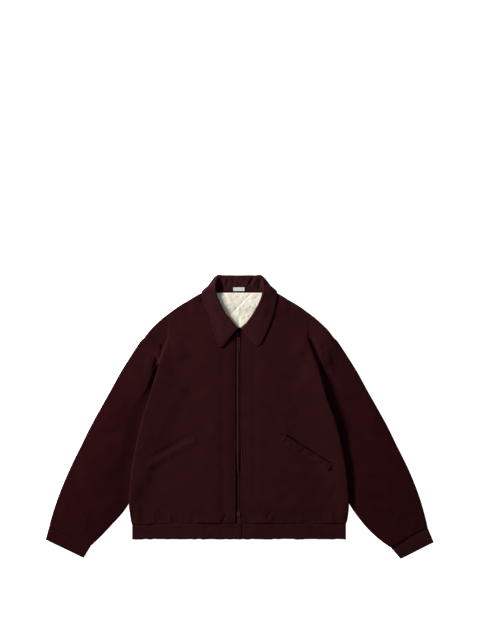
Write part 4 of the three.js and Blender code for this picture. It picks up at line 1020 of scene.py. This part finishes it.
zipLook = {
    "x": -1.35, "top": 229, "chain": 5.3, "tape": 22, "tapeWall": 0.8, "tapeZ": 3.4, "tapeRise": 1.9,
    "teethX": -3.0, "lowX": -1.4, "lowFrom": -140, "firstTooth": -255.5, "lastTooth": 214, "pitch": 2.9,
    "toothLong": 4.4, "lowLong": 2.6, "toothWide": 1.7, "toothTall": 2.6, "toothZ": 5.5, "toothDrop": 1.5,
    "toothAside": 0.7, "tapeRows": 240, "tapeAcross": 34,
}
for name, side in sides.items():
    look = zipLook
    near = look["x"] + side * (look["chain"] / 2 - 0.6)
    far = near + side * (look["tape"] + 0.9)
    rows = np.linspace(jacketCut["hemSeam"] - 2, look["top"], look["tapeRows"])
    x, y = np.meshgrid(np.linspace(near, far, look["tapeAcross"]), rows)
    besideTeeth = 1 - smooth((np.abs(x - look["teethX"]) - 4.2) / 3.4)
    rise = look["tapeRise"] * (0.25 + 0.75 * besideTeeth) * smooth((y - look["lowFrom"]) / 60)
    low = np.dstack([x, y, look["tapeZ"] + rise])
    top = low + np.dstack([x * 0, x * 0, look["tapeWall"] + 0.15 * uneven(x, y, 12, 81)])
    piece = clothPiece("zipTape_" + name, top, low, finishes["tape"])
    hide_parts("zip_tape_" + name)


def boxPoints(centre, size):  # a block with a narrower top
    (cx, cy, cz), (sx, sy, sz) = centre, (v / 2 for v in size)
    ring = ((-1, -1), (1, -1), (1, 1), (-1, 1))
    return [(cx + sx * a * k, cy + sy * b * k, cz + sz * dz)
            for dz, k in ((-1, 1), (0.55, 1), (1, 0.72)) for a, b in ring]


boxFaces = [(0, 3, 2, 1), (8, 9, 10, 11)]
boxFaces += [(r + i, r + (i + 1) % 4, r + 4 + (i + 1) % 4, r + 4 + i) for r in (0, 4) for i in range(4)]


def boxes(name, rows, material):
    points, faces = [], []
    for centre, size in rows:
        faces += [tuple(i + len(points) for i in f) for f in boxFaces]
        points += boxPoints(centre, size)
    return meshObject(name, points, faces, material, soft=False)


teeth, look = [], zipLook
y = look["firstTooth"]
while y < look["lastTooth"]:
    side = -1 if len(teeth) % 2 else 1
    lower = float(smooth((look["lowFrom"] - y) / 20))  # smaller teeth show below, where the edges close in
    middle = look["teethX"] + (look["lowX"] - look["teethX"]) * lower
    long = look["toothLong"] + (look["lowLong"] - look["toothLong"]) * lower
    centre = (middle + side * look["toothAside"], y, look["toothZ"] - look["toothDrop"] * lower)
    teeth.append((centre, (long, look["toothWide"], look["toothTall"])))
    y += look["pitch"] / 2
piece = boxes("zipTeeth", teeth, finishes["teeth"])
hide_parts("zip_chain")
for part, slot, finish in (("zip_box", "zip_teeth", "teeth"), ("zip_slider", "slider", "slider"),
                           ("zip_pull", "pull", "pull")):
    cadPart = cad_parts[part]
    cadPart.data.materials.clear()
    cadPart.data.materials.append(finishes[finish])
print("jacket: zip laid")

# sewing: one short raised thread for each stitch, its ends sunk in the cloth

stitchLook = {"step": 3.6, "long": 2.7, "radius": 0.36, "sides": 5, "rise": 0.22}


def alongPath(points):
    s = lengthAlong(points)
    return s[-1], lambda at: np.stack([np.interp(at, s, points[:, k]) for k in range(3)], -1)


def stitches(name, paths):
    look = stitchLook
    corners, faces = [], []
    turn = np.linspace(0, 2 * math.pi, look["sides"], endpoint=False)
    for path in paths:
        length, at = alongPath(np.asarray(path, float))
        for begin in np.arange(0.6, length - look["long"], look["step"]):
            a, b = at(begin), at(begin + look["long"])
            run = (b - a) / np.linalg.norm(b - a)
            across = np.cross(run, [0, 0, 1])
            across = across / max(np.linalg.norm(across), 1e-6)
            up = np.cross(across, run)
            first = len(corners)
            for share, radius, rise in ((0, 0.45, -0.3), (0.25, 1, 0.6), (0.75, 1, 0.6), (1, 0.45, -0.3)):
                centre = a + (b - a) * share + up * look["rise"] * rise
                for angle in turn:
                    out = across * math.cos(angle) + up * math.sin(angle)
                    corners.append(centre + out * look["radius"] * radius)
            n = look["sides"]
            for ring in range(3):
                low = first + ring * n
                nexts = [(i + 1) % n for i in range(n)]
                faces += [(low + i, low + j, low + n + j, low + n + i) for i, j in enumerate(nexts)]
    meshObject(name, corners, faces, finishes["thread"])


edgeRows = []
seamCol = int(np.argmin(np.abs(np.array(frontSteps["edge"]) - frontLook["stitchLine"])))
for name, side in sides.items():
    path = frontGrids[name][:, seamCol]
    keep = (path[:, 1] > jacketCut["hemSeam"] + 4) & (path[:, 1] < 196) & (path[:, 0] * side < 24)
    edgeRows.append(path[keep])
stitches("frontEdgeStitches", edgeRows)
bandRow = int(np.argmin(np.abs(bandRows * bandLook["tall"] - bandLook["stitchLine"])))
stitches("hemBandStitches", [bandOuter[bandRow]])
leafRow = []
for points, far in zip(collarOuter[6:-6], collarFromEdge[6:-6]):
    leafRow.append([np.interp(collarLook["stitchLine"], far[:20], points[:20, k]) for k in range(3)])
stitches("collarStitches", [leafRow])
weltRows = []
long, wide = weltLook["steps"] - 1, weltLook["across"] - 1
low = round(weltLook["stitchLine"] / weltLook["width"] * wide)
for top in weltTops.values():
    weltRows += [top[2:-2, low]] + [top[i, low:-2] for i in (3, 10, long - 10, long - 3)]
stitches("weltStitches", weltRows)
stitches("cuffStitches", [grid[row] for grid in cuffGrids for row in (3, -6)])
print("jacket: sewing laid")

# floor, light and camera

studio = {"floor": (0.93, 0.93, 0.93), "floorHalf": 6, "floorZ": -0.0004, "glow": 0.95, "world": 0.25,
          "key": (288, 0.75, (-2.6, 1.5, 1.5)), "fill": (6, 2.0, (1.6, -1.2, 2.6))}  # power, size, place
half, z = studio["floorHalf"], studio["floorZ"]
floorMesh = bpy.data.meshes.new("floor")
corners = [(-half, -half, z), (half, -half, z), (half, half, z), (-half, half, z)]
floorMesh.from_pydata(corners, [], [(0, 1, 2, 3)])
floor = placed("floor", floorMesh)
floorMaterial, _, floorShader = nodesOf("paleFloor")
setShader(floorShader, {"Base Color": (*studio["floor"], 1), "Roughness": 0.9,
                        "Emission Color": (1, 1, 1, 1), "Emission Strength": studio["glow"]})
floorMesh.materials.append(floorMaterial)

world = bpy.data.worlds.new("studio")
bpy.context.scene.world = world
world.use_nodes = True
setShader(world.node_tree.nodes["Background"], {"Color": (1, 1, 1, 1), "Strength": studio["world"]})


def areaLight(name, power, size, place):  # turned to the middle of the jacket
    light = bpy.data.lights.new(name, "AREA")
    light.shape, light.size, light.energy = "SQUARE", size, power
    made = placed(name, light)
    made.location = place
    made.rotation_euler = (-Vector(place)).to_track_quat("-Z", "Y").to_euler()


areaLight("keyLight", *studio["key"])
areaLight("fillLight", *studio["fill"])

cameraLook = {"lens": 85, "sensor": 36, "place": (0.0027, 0.2592, 4.08)}
cameraData = bpy.data.cameras.new("photoCamera")
cameraData.lens = cameraLook["lens"]
cameraData.sensor_width = cameraLook["sensor"]
camera = placed("photoCamera", cameraData)
camera.location = cameraLook["place"]
bpy.context.scene.camera = camera
bpy.context.scene.view_settings.view_transform = "Standard"
print("jacket: floor, light and camera set")
